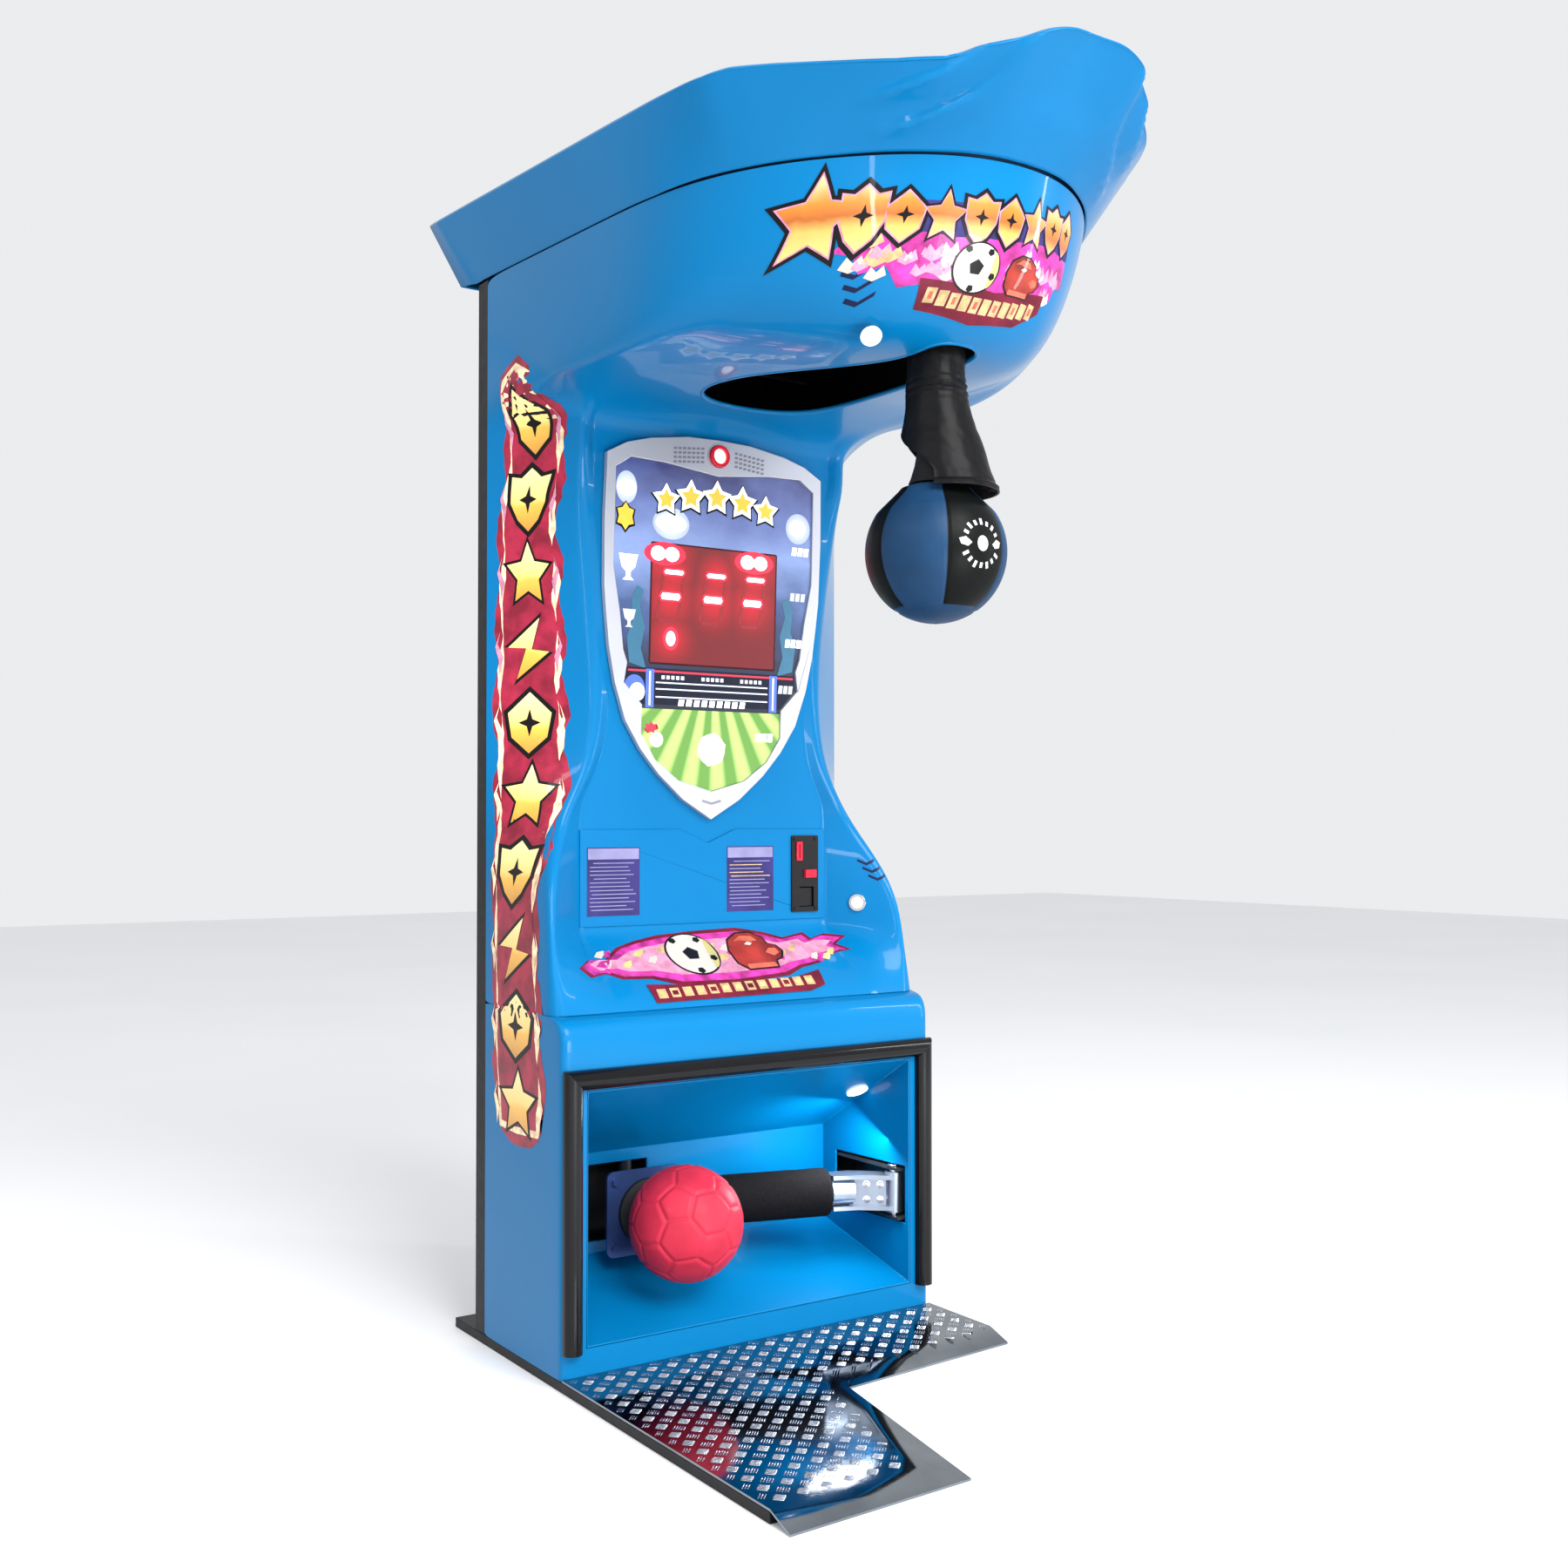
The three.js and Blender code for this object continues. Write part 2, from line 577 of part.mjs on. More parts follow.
// ---------- bumper round the kick recess ----------
const BUMPER = { inner: 365, outer: 399.5, top: 542, bar: 34.5, low: 63, depth: 21 };

// Half-round section from the mounting face outwards: [across, forward].
function bumperSection(from) {
  const shape = new THREE.Shape();
  const half = BUMPER.bar / 2;
  shape.moveTo(from, -GAP);
  shape.lineTo(from, -6);
  shape.absellipse(from + half, -6, half, BUMPER.depth - 6, Math.PI, 2 * Math.PI);
  shape.lineTo(from + BUMPER.bar, -GAP);
  return shape;
}

// Upright bar with its top end mitred at 45 degrees.
function bumperUpright(side) {
  const from = side < 0 ? -BUMPER.outer : BUMPER.outer - BUMPER.bar;
  const bar = prism(bumperSection(from), 'z', BUMPER.low, BUMPER.top, 7);
  const x = side * BUMPER.outer;
  const far = side * (BUMPER.outer - 80);
  const corner = outline([
    [x, BUMPER.top - GAP], [far, BUMPER.top - 80 - GAP], [far, BUMPER.top + 5], [x, BUMPER.top + 5],
  ]);
  return cut(bar, prism(corner, 'y', -40, 5));
}

function bumperTop() {
  const low = BUMPER.top - BUMPER.bar;
  const section = new THREE.Shape();
  const half = BUMPER.bar / 2;
  section.moveTo(-GAP, low);
  section.lineTo(-6, low);
  section.absellipse(-6, low + half, BUMPER.depth - 6, half, -Math.PI / 2, -1.5 * Math.PI, true);
  section.lineTo(-GAP, BUMPER.top);
  const bar = prism(section, 'x', -BUMPER.outer, BUMPER.outer, 7);
  const ends = [-1, 1].map((side) => {
    const x = side * BUMPER.outer;
    const far = side * (BUMPER.outer - 80);
    const out = side * (BUMPER.outer + 5);
    const corner = [[out, BUMPER.top + 5], [x, BUMPER.top], [far, BUMPER.top - 80], [out, BUMPER.top - 80]];
    return prism(outline(corner), 'y', -40, 5);
  });
  return cut(bar, ...ends);
}

// ---------- score display ----------
const SHIELD = { tip: 970, top: 1695, back: 1.5, lean: 30 / 727 };
const SHIELD_SIDE = [
  [240, 1645], [243, 1520], [241, 1400], [236, 1350], [229, 1290], [215, 1223], [192, 1155], [158, 1101],
  [118, 1055], [64, 1008],
];
const SHIELD_TOP = [[0, 1695], [70, 1693], [150, 1681], [200, 1667], [240, 1645]];
const ART_SIDE = [
  [0, 1626], [118, 1639], [190, 1641], [222, 1620], [223, 1437], [208, 1358], [199, 1286], [190, 1262],
  [196, 1224],
  [157, 1184], [157, 1130], [126, 1082], [74, 1044],
];
const WINDOW = { half: 142, low: 1262, high: 1490 };
const LAMP = { z: 1664, r: 14, ring: 21 };

function shieldDepth(z) {
  return 182 - (z - 968) * SHIELD.lean - SHIELD.back;
}

// Upright plate cut to an outline in X and Z that leans with the neck.
// It runs from one depth in front of the neck to another.
function leaningPlate(shape, near, far) {
  const geometry = prism(shape, 'y', -near, -far, 6);
  const position = geometry.attributes.position;
  for (let k = 0; k < position.count; k += 1) {
    position.setY(k, position.getY(k) + shieldDepth(position.getZ(k)));
  }
  return geometry;
}

function symmetric(right, bottom) {
  const left = right.filter(([x]) => x > 0).reverse().map(([x, z]) => [-x, z]);
  return outline([[0, bottom], ...left, ...right]);
}

function shieldOutline() {
  const right = [...SHIELD_TOP, ...SHIELD_SIDE.slice(1)];
  return symmetric(right, SHIELD.tip);
}

function artOutline(inset) {
  const points = ART_SIDE.map(([x, z]) => [Math.max(0, x - inset), z - (z > 1600 ? inset : -inset)]);
  return symmetric(points, 1024 + inset);
}

function shieldFrame() {
  const ring = leaningPlate(shieldOutline(), 13, 0);
  const art = leaningPlate(artOutline(0), 30, -30);
  return cut(ring, art, rod(LAMP.ring + GAP, [0, 100, LAMP.z], [0, 200, LAMP.z]));
}

function windowOutline(grow) {
  return roundedRect(-WINDOW.half - grow, WINDOW.half + grow, WINDOW.low - grow, WINDOW.high + grow, 4);
}

function shieldPanel() {
  return cut(leaningPlate(artOutline(GAP), 8, 4), leaningPlate(windowOutline(GAP), 30, -30));
}

// Smoked window over the three digits.
function displayWindow() {
  return leaningPlate(windowOutline(0), 8, 5);
}

// Circuit board behind the window with its digit blocks.
function displayBoard() {
  const plate = (x0, x1, z0, z1) => outline([[x0, z0], [x1, z0], [x1, z1], [x0, z1]]);
  const board = leaningPlate(plate(-138, 138, 1266, 1486), -14, -17);
  const digits = [-1, 0, 1].map((k) => leaningPlate(plate(k * 90 - 36, k * 90 + 36, 1330, 1452), 1, -15));
  return join(board, ...digits);
}

function lampRing() {
  return tube(LAMP.ring, LAMP.r + GAP, [0, 132, LAMP.z], [0, 151, LAMP.z]);
}

function lampLens() {
  const lens = turned([[0, 0], [LAMP.r, 0], [LAMP.r, 14], [9, 18.5], [0, 20]], 0, 0, 24);
  return place(lens, [0, 151, LAMP.z], [0, -1, 0]);
}

// ---------- coin panel ----------
const PANEL = { half: 275, low: 772, high: 951, notch: 925, back: 181.7, front: 178.7 };
const COIN = { left: 194, right: 258, low: 786, high: 938, front: 174.4 };

function coinPanel() {
  const { half, low, high, notch } = PANEL;
  const shape = outline([
    [-half, high], [-half, low], [half, low], [half, high], [62, high], [0, notch], [-62, high],
  ]);
  return cut(prism(shape, 'y', PANEL.front, PANEL.back), box(203, 251, 160, 200, 796, 927));
}

// Face plate of the coin mechanism with its four screw heads.
function coinPlate() {
  const face = roundedRect(COIN.left, COIN.right, COIN.low, COIN.high, 3);
  const plate = prism(face, 'y', COIN.front, PANEL.front - GAP);
  const slot = box(204, 218, 160, 190, 888, 926);
  const button = box(223.7, 250.3, 160, 190, 853.7, 870.3);
  const cup = box(213, 247, 160, 190, 796, 836);
  const heads = [[201, 931], [251, 931], [201, 793], [251, 793]];
  const screws = heads.map(([x, z]) => rod(3.4, [x, COIN.front - 2, z], [x, COIN.front + 2, z], 12));
  return join(cut(plate, slot, button, cup), ...screws);
}

function coinBezel() {
  const block = box(204.3, 217.7, 171, 184, 888.3, 925.7);
  return cut(block, box(209.6, 212.4, 160, 190, 893, 921));
}

function rejectButton() {
  return box(224, 250, 168, 186, 854, 870);
}

// Flap over the return cup, hung from its top edge.
function returnFlap() {
  return box(214, 246, 179.2, 181.2, 797, 834);
}

function coinMech() {
  const body = box(204, 248, 187, 262, 800, 925);
  const slot = box(209, 213, 180, 270, 888, 922);
  const chute = box(213.5, 246.5, 180, 240, 796, 840);
  const buttonRoom = box(222, 252, 180, 191, 852, 872);
  return cut(body, slot, chute, buttonRoom);
}

// ---------- start buttons ----------
const BOX_BUTTON = { at: [-155.6, -540.7, 1706.1], out: [-0.3, -0.66, -0.69] };
const KICK_BUTTON = { at: [324.5, 131, 803], out: [-0.718, -0.694, 0.057] };

// Hole through the moulding with a flat seat for the bezel outside and room for the nut inside.
function buttonHole({ at, out }) {
  const through = rod(13.4, [0, 0, -34], [0, 0, 30], 24);
  const seat = rod(17.6, [0, 0, 1.2], [0, 0, 20], 24);
  const nutRoom = rod(17, [0, 0, -34], [0, 0, -19.4], 24);
  return place(join(through, seat, nutRoom), at, out);
}

// Bezel with a flange outside the moulding, a threaded sleeve through it and a nut behind it.
function buttonBezel({ at, out }) {
  const flange = rod(17, [0, 0, 1.5], [0, 0, 5.5], 24);
  const sleeve = rod(13, [0, 0, -28], [0, 0, 2], 24);
  const nut = rod(16.5, [0, 0, -26], [0, 0, -20], 6);
  const bore = rod(11, [0, 0, -35], [0, 0, 10], 24);
  return place(cut(join(flange, sleeve, nut), bore), at, out);
}

function buttonCap({ at, out }) {
  return place(turned([[0, -16], [10.6, -16], [10.6, 7.5], [8.5, 9.5], [0, 10.5]], 0, 0, 24), at, out);
}

// ---------- kick side ----------
function recessLamp() {
  const lamp = turned([[0, 0], [22, 0], [22, 3], [17, 5], [0, 6]], 0, 0, 24);
  return place(lamp, [313, 118, 429.3], [0, -0.5215, -0.8532]);
}

// Point on the kick arm's axis at a given X.
function onArm(x) {
  const [x0, y0] = KICK_ARM.right;
  const [x1, y1] = KICK_ARM.left;
  return [x, y0 + ((x - x0) / (x1 - x0)) * (y1 - y0), KICK.z];
}

const KICK_TUBE = 20; // radius of the kick arm
const KICK_DISC_X = -130;

function kickTube() {
  return rod(KICK_TUBE, onArm(274), onArm(-162));
}

function kickPad() {
  return tube(47, KICK_TUBE + GAP, onArm(238), onArm(-34), 24);
}

// Boss on the pivot pin, web and flanges, and the socket that grips the arm.
function kickHinge() {
  const boss = rod(18, [KICK.x, KICK.y, 198], [KICK.x, KICK.y, 276]);
  const end = onArm(292);
  const grip = onArm(246);
  const plan = outline([
    [KICK.x - 14, KICK.y - 18], [KICK.x + 14, KICK.y + 14], [end[0] + 4, end[1] + 22],
    [grip[0], grip[1] + 24], [grip[0] - 8, grip[1] - 22], [end[0] - 8, end[1] - 26],
  ]);
  const flanges = [[203, 211], [263, 271]].map(([z0, z1]) => prism(plan, 'z', z0, z1));
  const web = prism(outline([
    [KICK.x - 8, KICK.y - 6], [KICK.x + 6, KICK.y + 8], [end[0] - 8, end[1] + 12], [end[0] - 16, end[1] - 6],
  ]), 'z', 205, 269);
  const socket = rod(28, onArm(288), onArm(244));
  const solid = join(boss, ...flanges, web, socket);
  const bore = rod(KICK_TUBE + GAP, onArm(276), onArm(200));
  const pinBore = rod(8.05, [KICK.x, KICK.y, 180], [KICK.x, KICK.y, 300], 32);
  return cut(solid, bore, pinBore);
}

// Square plate behind the ball, clamped on the arm, with the striker that the latch holds.
function kickEndPlate() {
  const plate = prism(roundedRect(-215, -55, 158, 316, 14), 'y', 183, 189);
  const clamp = box(-160, -110, 188, 258, 206, 268);
  const striker = rod(6, [-135, 250, KICK.z], [-135, 293, KICK.z], 16);
  const head = rod(10, [-135, 292, KICK.z], [-135, 300, KICK.z], 20);
  const corners = [[-198, 176], [-198, 298], [-72, 176], [-72, 298]];
  const bolts = corners.map(([x, z]) => rod(8, [x, 177, z], [x, 184, z], 6));
  return cut(join(plate, clamp, striker, head, ...bolts), rod(KICK_TUBE + GAP, onArm(-10), onArm(-190)));
}

// Dished disc between the plate and the ball; its boss enters the hollow at the back of the ball.
function kickDisc() {
  const cup = [[0, 0], [62, 0], [62, 8], [50, 14], [34, 17], [0, 17]];
  return place(turned(cup, 0, 0, 28), [KICK_DISC_X, 182.6, KICK.z], [0, -1, 0]);
}

function kickBall() {
  const ball = new THREE.SphereGeometry(KICK_BALL.r, 26, 16);
  ball.rotateX(Math.PI / 2).translate(KICK_BALL.x, KICK_BALL.y, KICK.z);
  return cut(ball, rod(36, [KICK_DISC_X, 155, KICK.z], [KICK_DISC_X, 200, KICK.z], 24));
}

// Channel let into the side of the recess that carries the pivot pin.
function kickBracket() {
  const back = box(386, 391, 18, 218, 187, 287);
  const shelf = (z0, z1) => box(337, 388, 18, 218, z0, z1);
  const solid = join(back, shelf(187, 192), shelf(282, 287));
  return cut(solid, rod(8.1, [KICK.x, KICK.y, 180], [KICK.x, KICK.y, 300], 32));
}

function kickPin() {
  const pin = rod(8, [KICK.x, KICK.y, 184], [KICK.x, KICK.y, 288.5], 32);
  const head = rod(12, [KICK.x, KICK.y, 287.3], [KICK.x, KICK.y, 290.5]);
  return join(pin, head);
}

// Dark box behind the recess that the end of the arm parks in.
function kickPocket() {
  const outer = box(-330, -82, RECESS.depth + WALL + GAP, 312, 168, 320);
  const inner = box(-328, -84, RECESS.depth, 310, 170, 318);
  return cut(outer, inner, rod(4, [-122, 286, 300], [-122, 286, 330], 16));
}

const LATCH = { x: -122, y: 286 };

function kickLatch() {
  const body = rod(13, [LATCH.x, LATCH.y, 258], [LATCH.x, LATCH.y, 317.5]);
  return cut(body, rod(3.8, [LATCH.x, LATCH.y, 250], [LATCH.x, LATCH.y, 300], 16));
}

function kickLatchPlunger() {
  return rod(3.5, [LATCH.x, LATCH.y, 249], [LATCH.x, LATCH.y, 296], 16);
}

// ---------- punch side ----------
const SHAFT = 12.5;

function punchFrame() {
  const { y, z } = PUNCH;
  const top = box(-130, 130, y - 55, y + 55, 1971, ROOF.low - GAP);
  const sides = [-130, 124].map((x) => box(x, x + 6, y - 50, y + 50, z - 32, 1973));
  const solid = join(top, ...sides);
  return cut(solid, rod(SHAFT + 3, [-140, y, z], [140, y, z]));
}

function bearing(side) {
  const { y, z } = PUNCH;
  const x0 = side * 130.3;
  const x1 = side * 148;
  const housing = join(
    rod(27, [x0, y, z], [x1, y, z]),
    box(Math.min(x0, side * 136), Math.max(x0, side * 136), y - 44, y + 44, z - 16, z + 16),
  );
  return cut(housing, rod(SHAFT + 0.06, [x0 - side * 5, y, z], [x1 + side * 5, y, z], 40));
}

function punchShaft() {
  return rod(SHAFT, [-152, PUNCH.y, PUNCH.z], [152, PUNCH.y, PUNCH.z], 40);
}

const ARM_TUBE = 17;
const INDEX = 27; // distance of the latch from the pivot

// Hub clamped on the shaft, with a socket for the arm and two index holes for the latch.
function punchHub() {
  const { y, z } = PUNCH;
  const barrel = rod(36, [-34, y, z], [34, y, z]);
  const socket = rod(25, [0, y, z], [0, y, z - 74]);
  const solid = join(barrel, socket);
  const bore = rod(SHAFT + GAP, [-40, y, z], [40, y, z]);
  const tubeBore = rod(ARM_TUBE + GAP, [0, y, z - 40], [0, y, z - 80]);
  const parked = rod(5.6, [20, y + INDEX, z], [40, y + INDEX, z], 16);
  const raised = rod(5.6, [20, y, z + INDEX], [40, y, z + INDEX], 16);
  return cut(solid, bore, tubeBore, parked, raised);
}

function punchTube() {
  return rod(ARM_TUBE, [0, PUNCH.y, PUNCH.z - 42], [0, PUNCH.y, 1496]);
}

// Padded vinyl sleeve, flared at the bottom where it laps over the ball.
function punchSleeve() {
  const profile = [
    [26, 1722], [26, 1600], [38, 1562], [58, 1522], [84, 1487], [92, 1485], [68, 1524], [53, 1562],
    [46, 1600], [47, 1640], [47, 1690], [50, 1700], [48, 1722], [26, 1722],
  ];
  return turned(profile, 0, PUNCH.y, 24);
}

function punchCollar() {
  const profile = [
    [ARM_TUBE + GAP, 1552], [ARM_TUBE + GAP, 1500.3], [44, 1500.3], [40, 1510], [34, 1530], [30, 1552],
    [ARM_TUBE + GAP, 1552],
  ];
  return turned(profile, 0, PUNCH.y, 24);
}

// Ball drawn out towards the arm at the top.
function punchBall() {
  const { z, r } = PUNCH_BALL;
  const profile = [[0, z - r]];
  for (let k = 1; k <= 10; k += 1) {
    const angle = -Math.PI / 2 + (k / 10) * 2.15;
    profile.push([r * Math.cos(angle), z + r * Math.sin(angle)]);
  }
  profile.push([64, 1488], [44, 1500], [20, 1500], [20, 1490], [0, 1490]);
  return turned(profile, 0, PUNCH.y, 28);
}

const PUNCH_LATCH = { y: PUNCH.y, z: PUNCH.z + INDEX };

function punchLatch() {
  const { y, z } = PUNCH_LATCH;
  const body = rod(13, [74, y, z], [123.5, y, z]);
  return cut(body, rod(5.3, [70, y, z], [112, y, z], 16));
}

function punchLatchPlunger() {
  return rod(5, [36, PUNCH_LATCH.y, PUNCH_LATCH.z], [104, PUNCH_LATCH.y, PUNCH_LATCH.z], 16);
}

// ---------- inside the neck ----------
function shelfBoard() {
  return box(-372, 372, 120, 312, 646, 658);
}

function cashBox() {
  return cut(box(150, 300, 190, 305, 658.3, 770), box(153, 297, 193, 302, 661, 780));
}

function powerSupply() {
  const can = box(-320, -180, 230, 305, 658.3, 722);
  const terminals = box(-300, -200, 222, 231, 664, 684);
  return join(can, terminals);
}

function mainBoard() {
  const board = box(-130, 110, 296, 299, 690, 880);
  const chips = [[-100, -60, 720, 750], [-40, 20, 780, 830], [40, 90, 710, 740], [-110, -70, 800, 860]];
  return join(board, ...chips.map(([x0, x1, z0, z1]) => box(x0, x1, 286, 297, z0, z1)));
}

add('base_board', baseBoard(), BLACK);
add('tread_plate', treadPlate(), { color: 0x6f7780, roughness: 0.3, metalness: 0.9 });
add('lower_shell', lowerShell(), PAINT);
add('kick_tray', kickTray(), PAINT);
add('upper_shell', cut(upperShell(), buttonHole(BOX_BUTTON), buttonHole(KICK_BUTTON)), PAINT);
add('canopy', canopy(), PAINT);
add('canopy_seal', canopySeal(), RUBBER);
add('roof_board', roofBoard(), BLACK);
add('rear_frame', rearFrame(), BLACK);
add('rear_door', rearDoor(), BLACK);
add('door_hinge', doorHinge(), STEEL);
add('lock_barrel', lockBarrel(), CHROME);
add('lock_cam', lockCam(), STEEL);
add('power_inlet', powerInlet(), BLACK);
add('bumper_left', bumperUpright(-1), RUBBER);
add('bumper_right', bumperUpright(1), RUBBER);
add('bumper_top', bumperTop(), RUBBER);
add('shield_frame', shieldFrame(), { color: 0xb9bcc4, roughness: 0.25, metalness: 0.6 });
add('shield_panel', shieldPanel(), { color: 0x27407a, roughness: 0.2, metalness: 0 });
add('display_window', displayWindow(), { color: 0x4a0508, roughness: 0.1, metalness: 0 });
add('display_board', displayBoard(), { color: 0x143a1f, roughness: 0.5, metalness: 0 });
add('lamp_ring', lampRing(), { color: 0xd21226, roughness: 0.3, metalness: 0 });
add('lamp_lens', lampLens(), { color: 0xf6ead0, roughness: 0.3, metalness: 0 });
add('coin_panel', coinPanel(), PAINT);
add('coin_plate', coinPlate(), BLACK);
add('coin_bezel', coinBezel(), { color: 0xb3101a, roughness: 0.3, metalness: 0 });
add('reject_button', rejectButton(), { color: 0xb3101a, roughness: 0.3, metalness: 0 });
add('return_flap', returnFlap(), BLACK);
add('coin_mech', coinMech(), BLACK);
add('start_box_bezel', buttonBezel(BOX_BUTTON), CHROME);
add('start_box_button', buttonCap(BOX_BUTTON), { color: 0xf2f6ff, roughness: 0.3, metalness: 0 });
add('start_kick_bezel', buttonBezel(KICK_BUTTON), CHROME);
add('start_kick_button', buttonCap(KICK_BUTTON), { color: 0xf2f6ff, roughness: 0.3, metalness: 0 });
add('recess_lamp', recessLamp(), { color: 0xf4f7ff, roughness: 0.3, metalness: 0 });
add('kick_ball', kickBall(), { color: 0xd8344e, roughness: 0.55, metalness: 0 });
add('kick_disc', kickDisc(), BLACK);
add('kick_end_plate', kickEndPlate(), STEEL);
add('kick_tube', kickTube(), STEEL);
add('kick_pad', kickPad(), RUBBER);
add('kick_hinge', kickHinge(), STEEL);
add('kick_bracket', kickBracket(), { color: 0x2a2c2e, roughness: 0.4, metalness: 0.8 });
add('kick_pin', kickPin(), CHROME);
add('kick_pocket', kickPocket(), BLACK);
add('kick_latch', kickLatch(), STEEL);
add('kick_latch_plunger', kickLatchPlunger(), CHROME);
add('punch_frame', punchFrame(), { color: 0x2a2c2e, roughness: 0.4, metalness: 0.8 });
add('bearing_left', bearing(-1), STEEL);
add('bearing_right', bearing(1), STEEL);
add('punch_shaft', punchShaft(), CHROME);
add('punch_hub', punchHub(), STEEL);
add('punch_tube', punchTube(), STEEL);
add('punch_sleeve', punchSleeve(), RUBBER);
add('punch_collar', punchCollar(), RUBBER);
add('punch_ball', punchBall(), { color: 0x1d3c63, roughness: 0.5, metalness: 0 });
add('punch_latch', punchLatch(), STEEL);
add('punch_latch_plunger', punchLatchPlunger(), CHROME);
add('shelf_board', shelfBoard(), BLACK);
add('cash_box', cashBox(), STEEL);
add('power_supply', powerSupply(), STEEL);
add('main_board', mainBoard(), { color: 0x143a1f, roughness: 0.5, metalness: 0 });

export default group;
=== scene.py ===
"""Boxing and kicking strength machine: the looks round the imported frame.

Everything is in the frame's axes: Z up, the player on the -Y side. Shape tables are in millimetres.
"""

import math
import random

import bmesh
import bpy
from mathutils import Matrix, Vector, noise
from mathutils.bvhtree import BVHTree


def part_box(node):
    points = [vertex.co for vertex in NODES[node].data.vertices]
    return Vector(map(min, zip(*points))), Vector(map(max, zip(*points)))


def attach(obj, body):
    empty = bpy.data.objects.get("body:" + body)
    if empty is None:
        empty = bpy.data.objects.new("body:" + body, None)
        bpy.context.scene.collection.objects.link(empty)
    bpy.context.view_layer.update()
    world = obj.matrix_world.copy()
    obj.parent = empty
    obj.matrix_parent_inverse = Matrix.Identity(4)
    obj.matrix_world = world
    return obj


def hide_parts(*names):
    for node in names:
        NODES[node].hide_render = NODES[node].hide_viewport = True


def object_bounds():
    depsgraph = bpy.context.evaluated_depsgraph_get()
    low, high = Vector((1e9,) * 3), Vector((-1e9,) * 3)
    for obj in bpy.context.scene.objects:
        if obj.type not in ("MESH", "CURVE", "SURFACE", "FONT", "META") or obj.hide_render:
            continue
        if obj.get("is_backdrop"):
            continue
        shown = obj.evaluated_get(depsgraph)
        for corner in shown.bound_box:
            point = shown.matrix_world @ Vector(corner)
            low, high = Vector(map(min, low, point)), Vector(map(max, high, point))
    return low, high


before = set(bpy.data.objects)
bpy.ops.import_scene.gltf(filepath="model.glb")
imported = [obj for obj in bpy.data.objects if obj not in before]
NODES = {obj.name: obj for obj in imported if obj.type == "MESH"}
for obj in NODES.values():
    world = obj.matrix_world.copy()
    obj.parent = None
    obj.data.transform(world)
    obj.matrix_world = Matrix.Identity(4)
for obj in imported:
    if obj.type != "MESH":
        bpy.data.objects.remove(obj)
CAD_BOX = [list(v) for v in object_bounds()]
MM = 0.001
SCENE = bpy.context.scene


# ---------- materials ----------
def blank(name):
    """New material with its node tree and its surface shader."""
    mat = bpy.data.materials.new(name)
    mat.use_nodes = True
    tree = mat.node_tree
    return mat, tree, tree.nodes["Principled BSDF"]


def node(tree, kind, **values):
    """Shader node with its settings."""
    made = tree.nodes.new(kind)
    for key, value in values.items():
        setattr(made, key, value)
    return made


def math_node(tree, operation, a, b=None):
    """Arithmetic on one or two numbers or sockets."""
    made = node(tree, "ShaderNodeMath", operation=operation)
    for socket, value in zip(made.inputs, (a, b)):
        if value is None:
            continue
        if isinstance(value, (int, float)):
            socket.default_value = value
        else:
            tree.links.new(value, socket)
    return made.outputs[0]


def object_coords(tree, stretch=(1, 1, 1)):
    """Coordinates fixed to the piece, stretched along its axes."""
    coords = node(tree, "ShaderNodeTexCoord")
    mapping = node(tree, "ShaderNodeMapping")
    mapping.inputs["Scale"].default_value = stretch
    tree.links.new(coords.outputs["Object"], mapping.inputs["Vector"])
    return mapping.outputs[0]


def noise_fac(tree, scale, detail=3.0, stretch=(1, 1, 1)):
    """Cloudy noise from 0 to 1."""
    made = node(tree, "ShaderNodeTexNoise")
    made.inputs["Scale"].default_value = scale
    made.inputs["Detail"].default_value = detail
    tree.links.new(object_coords(tree, stretch), made.inputs["Vector"])
    return made.outputs["Fac"]


def blend_colors(tree, fac, a, b, low=0.35, high=0.65):
    """Colour that goes from a to b between two levels."""
    ramp = node(tree, "ShaderNodeValToRGB")
    ramp.color_ramp.elements[0].position = low
    ramp.color_ramp.elements[1].position = high
    ramp.color_ramp.elements[0].color = (*a, 1)
    ramp.color_ramp.elements[1].color = (*b, 1)
    tree.links.new(fac, ramp.inputs[0])
    return ramp.outputs[0]


def color_bands(tree, fac, bands):
    """Ramp through several colours, each at its own place from 0 to 1."""
    ramp = node(tree, "ShaderNodeValToRGB")
    while len(ramp.color_ramp.elements) < len(bands):
        ramp.color_ramp.elements.new(0.5)
    for element, (place, color) in zip(ramp.color_ramp.elements, bands):
        element.position = place
        element.color = (*color, 1)
    tree.links.new(fac, ramp.inputs[0])
    return ramp.outputs[0]


def to_range(tree, fac, low, high):
    """Value from 0 to 1 spread between two numbers."""
    made = node(tree, "ShaderNodeMapRange")
    made.inputs["To Min"].default_value = low
    made.inputs["To Max"].default_value = high
    tree.links.new(fac, made.inputs["Value"])
    return made.outputs[0]


def add_bump(tree, shader, height, strength, distance):
    """Fine relief on a surface."""
    bump = node(tree, "ShaderNodeBump")
    bump.inputs["Strength"].default_value = strength
    bump.inputs["Distance"].default_value = distance
    tree.links.new(height, bump.inputs["Height"])
    tree.links.new(bump.outputs[0], shader.inputs["Normal"])


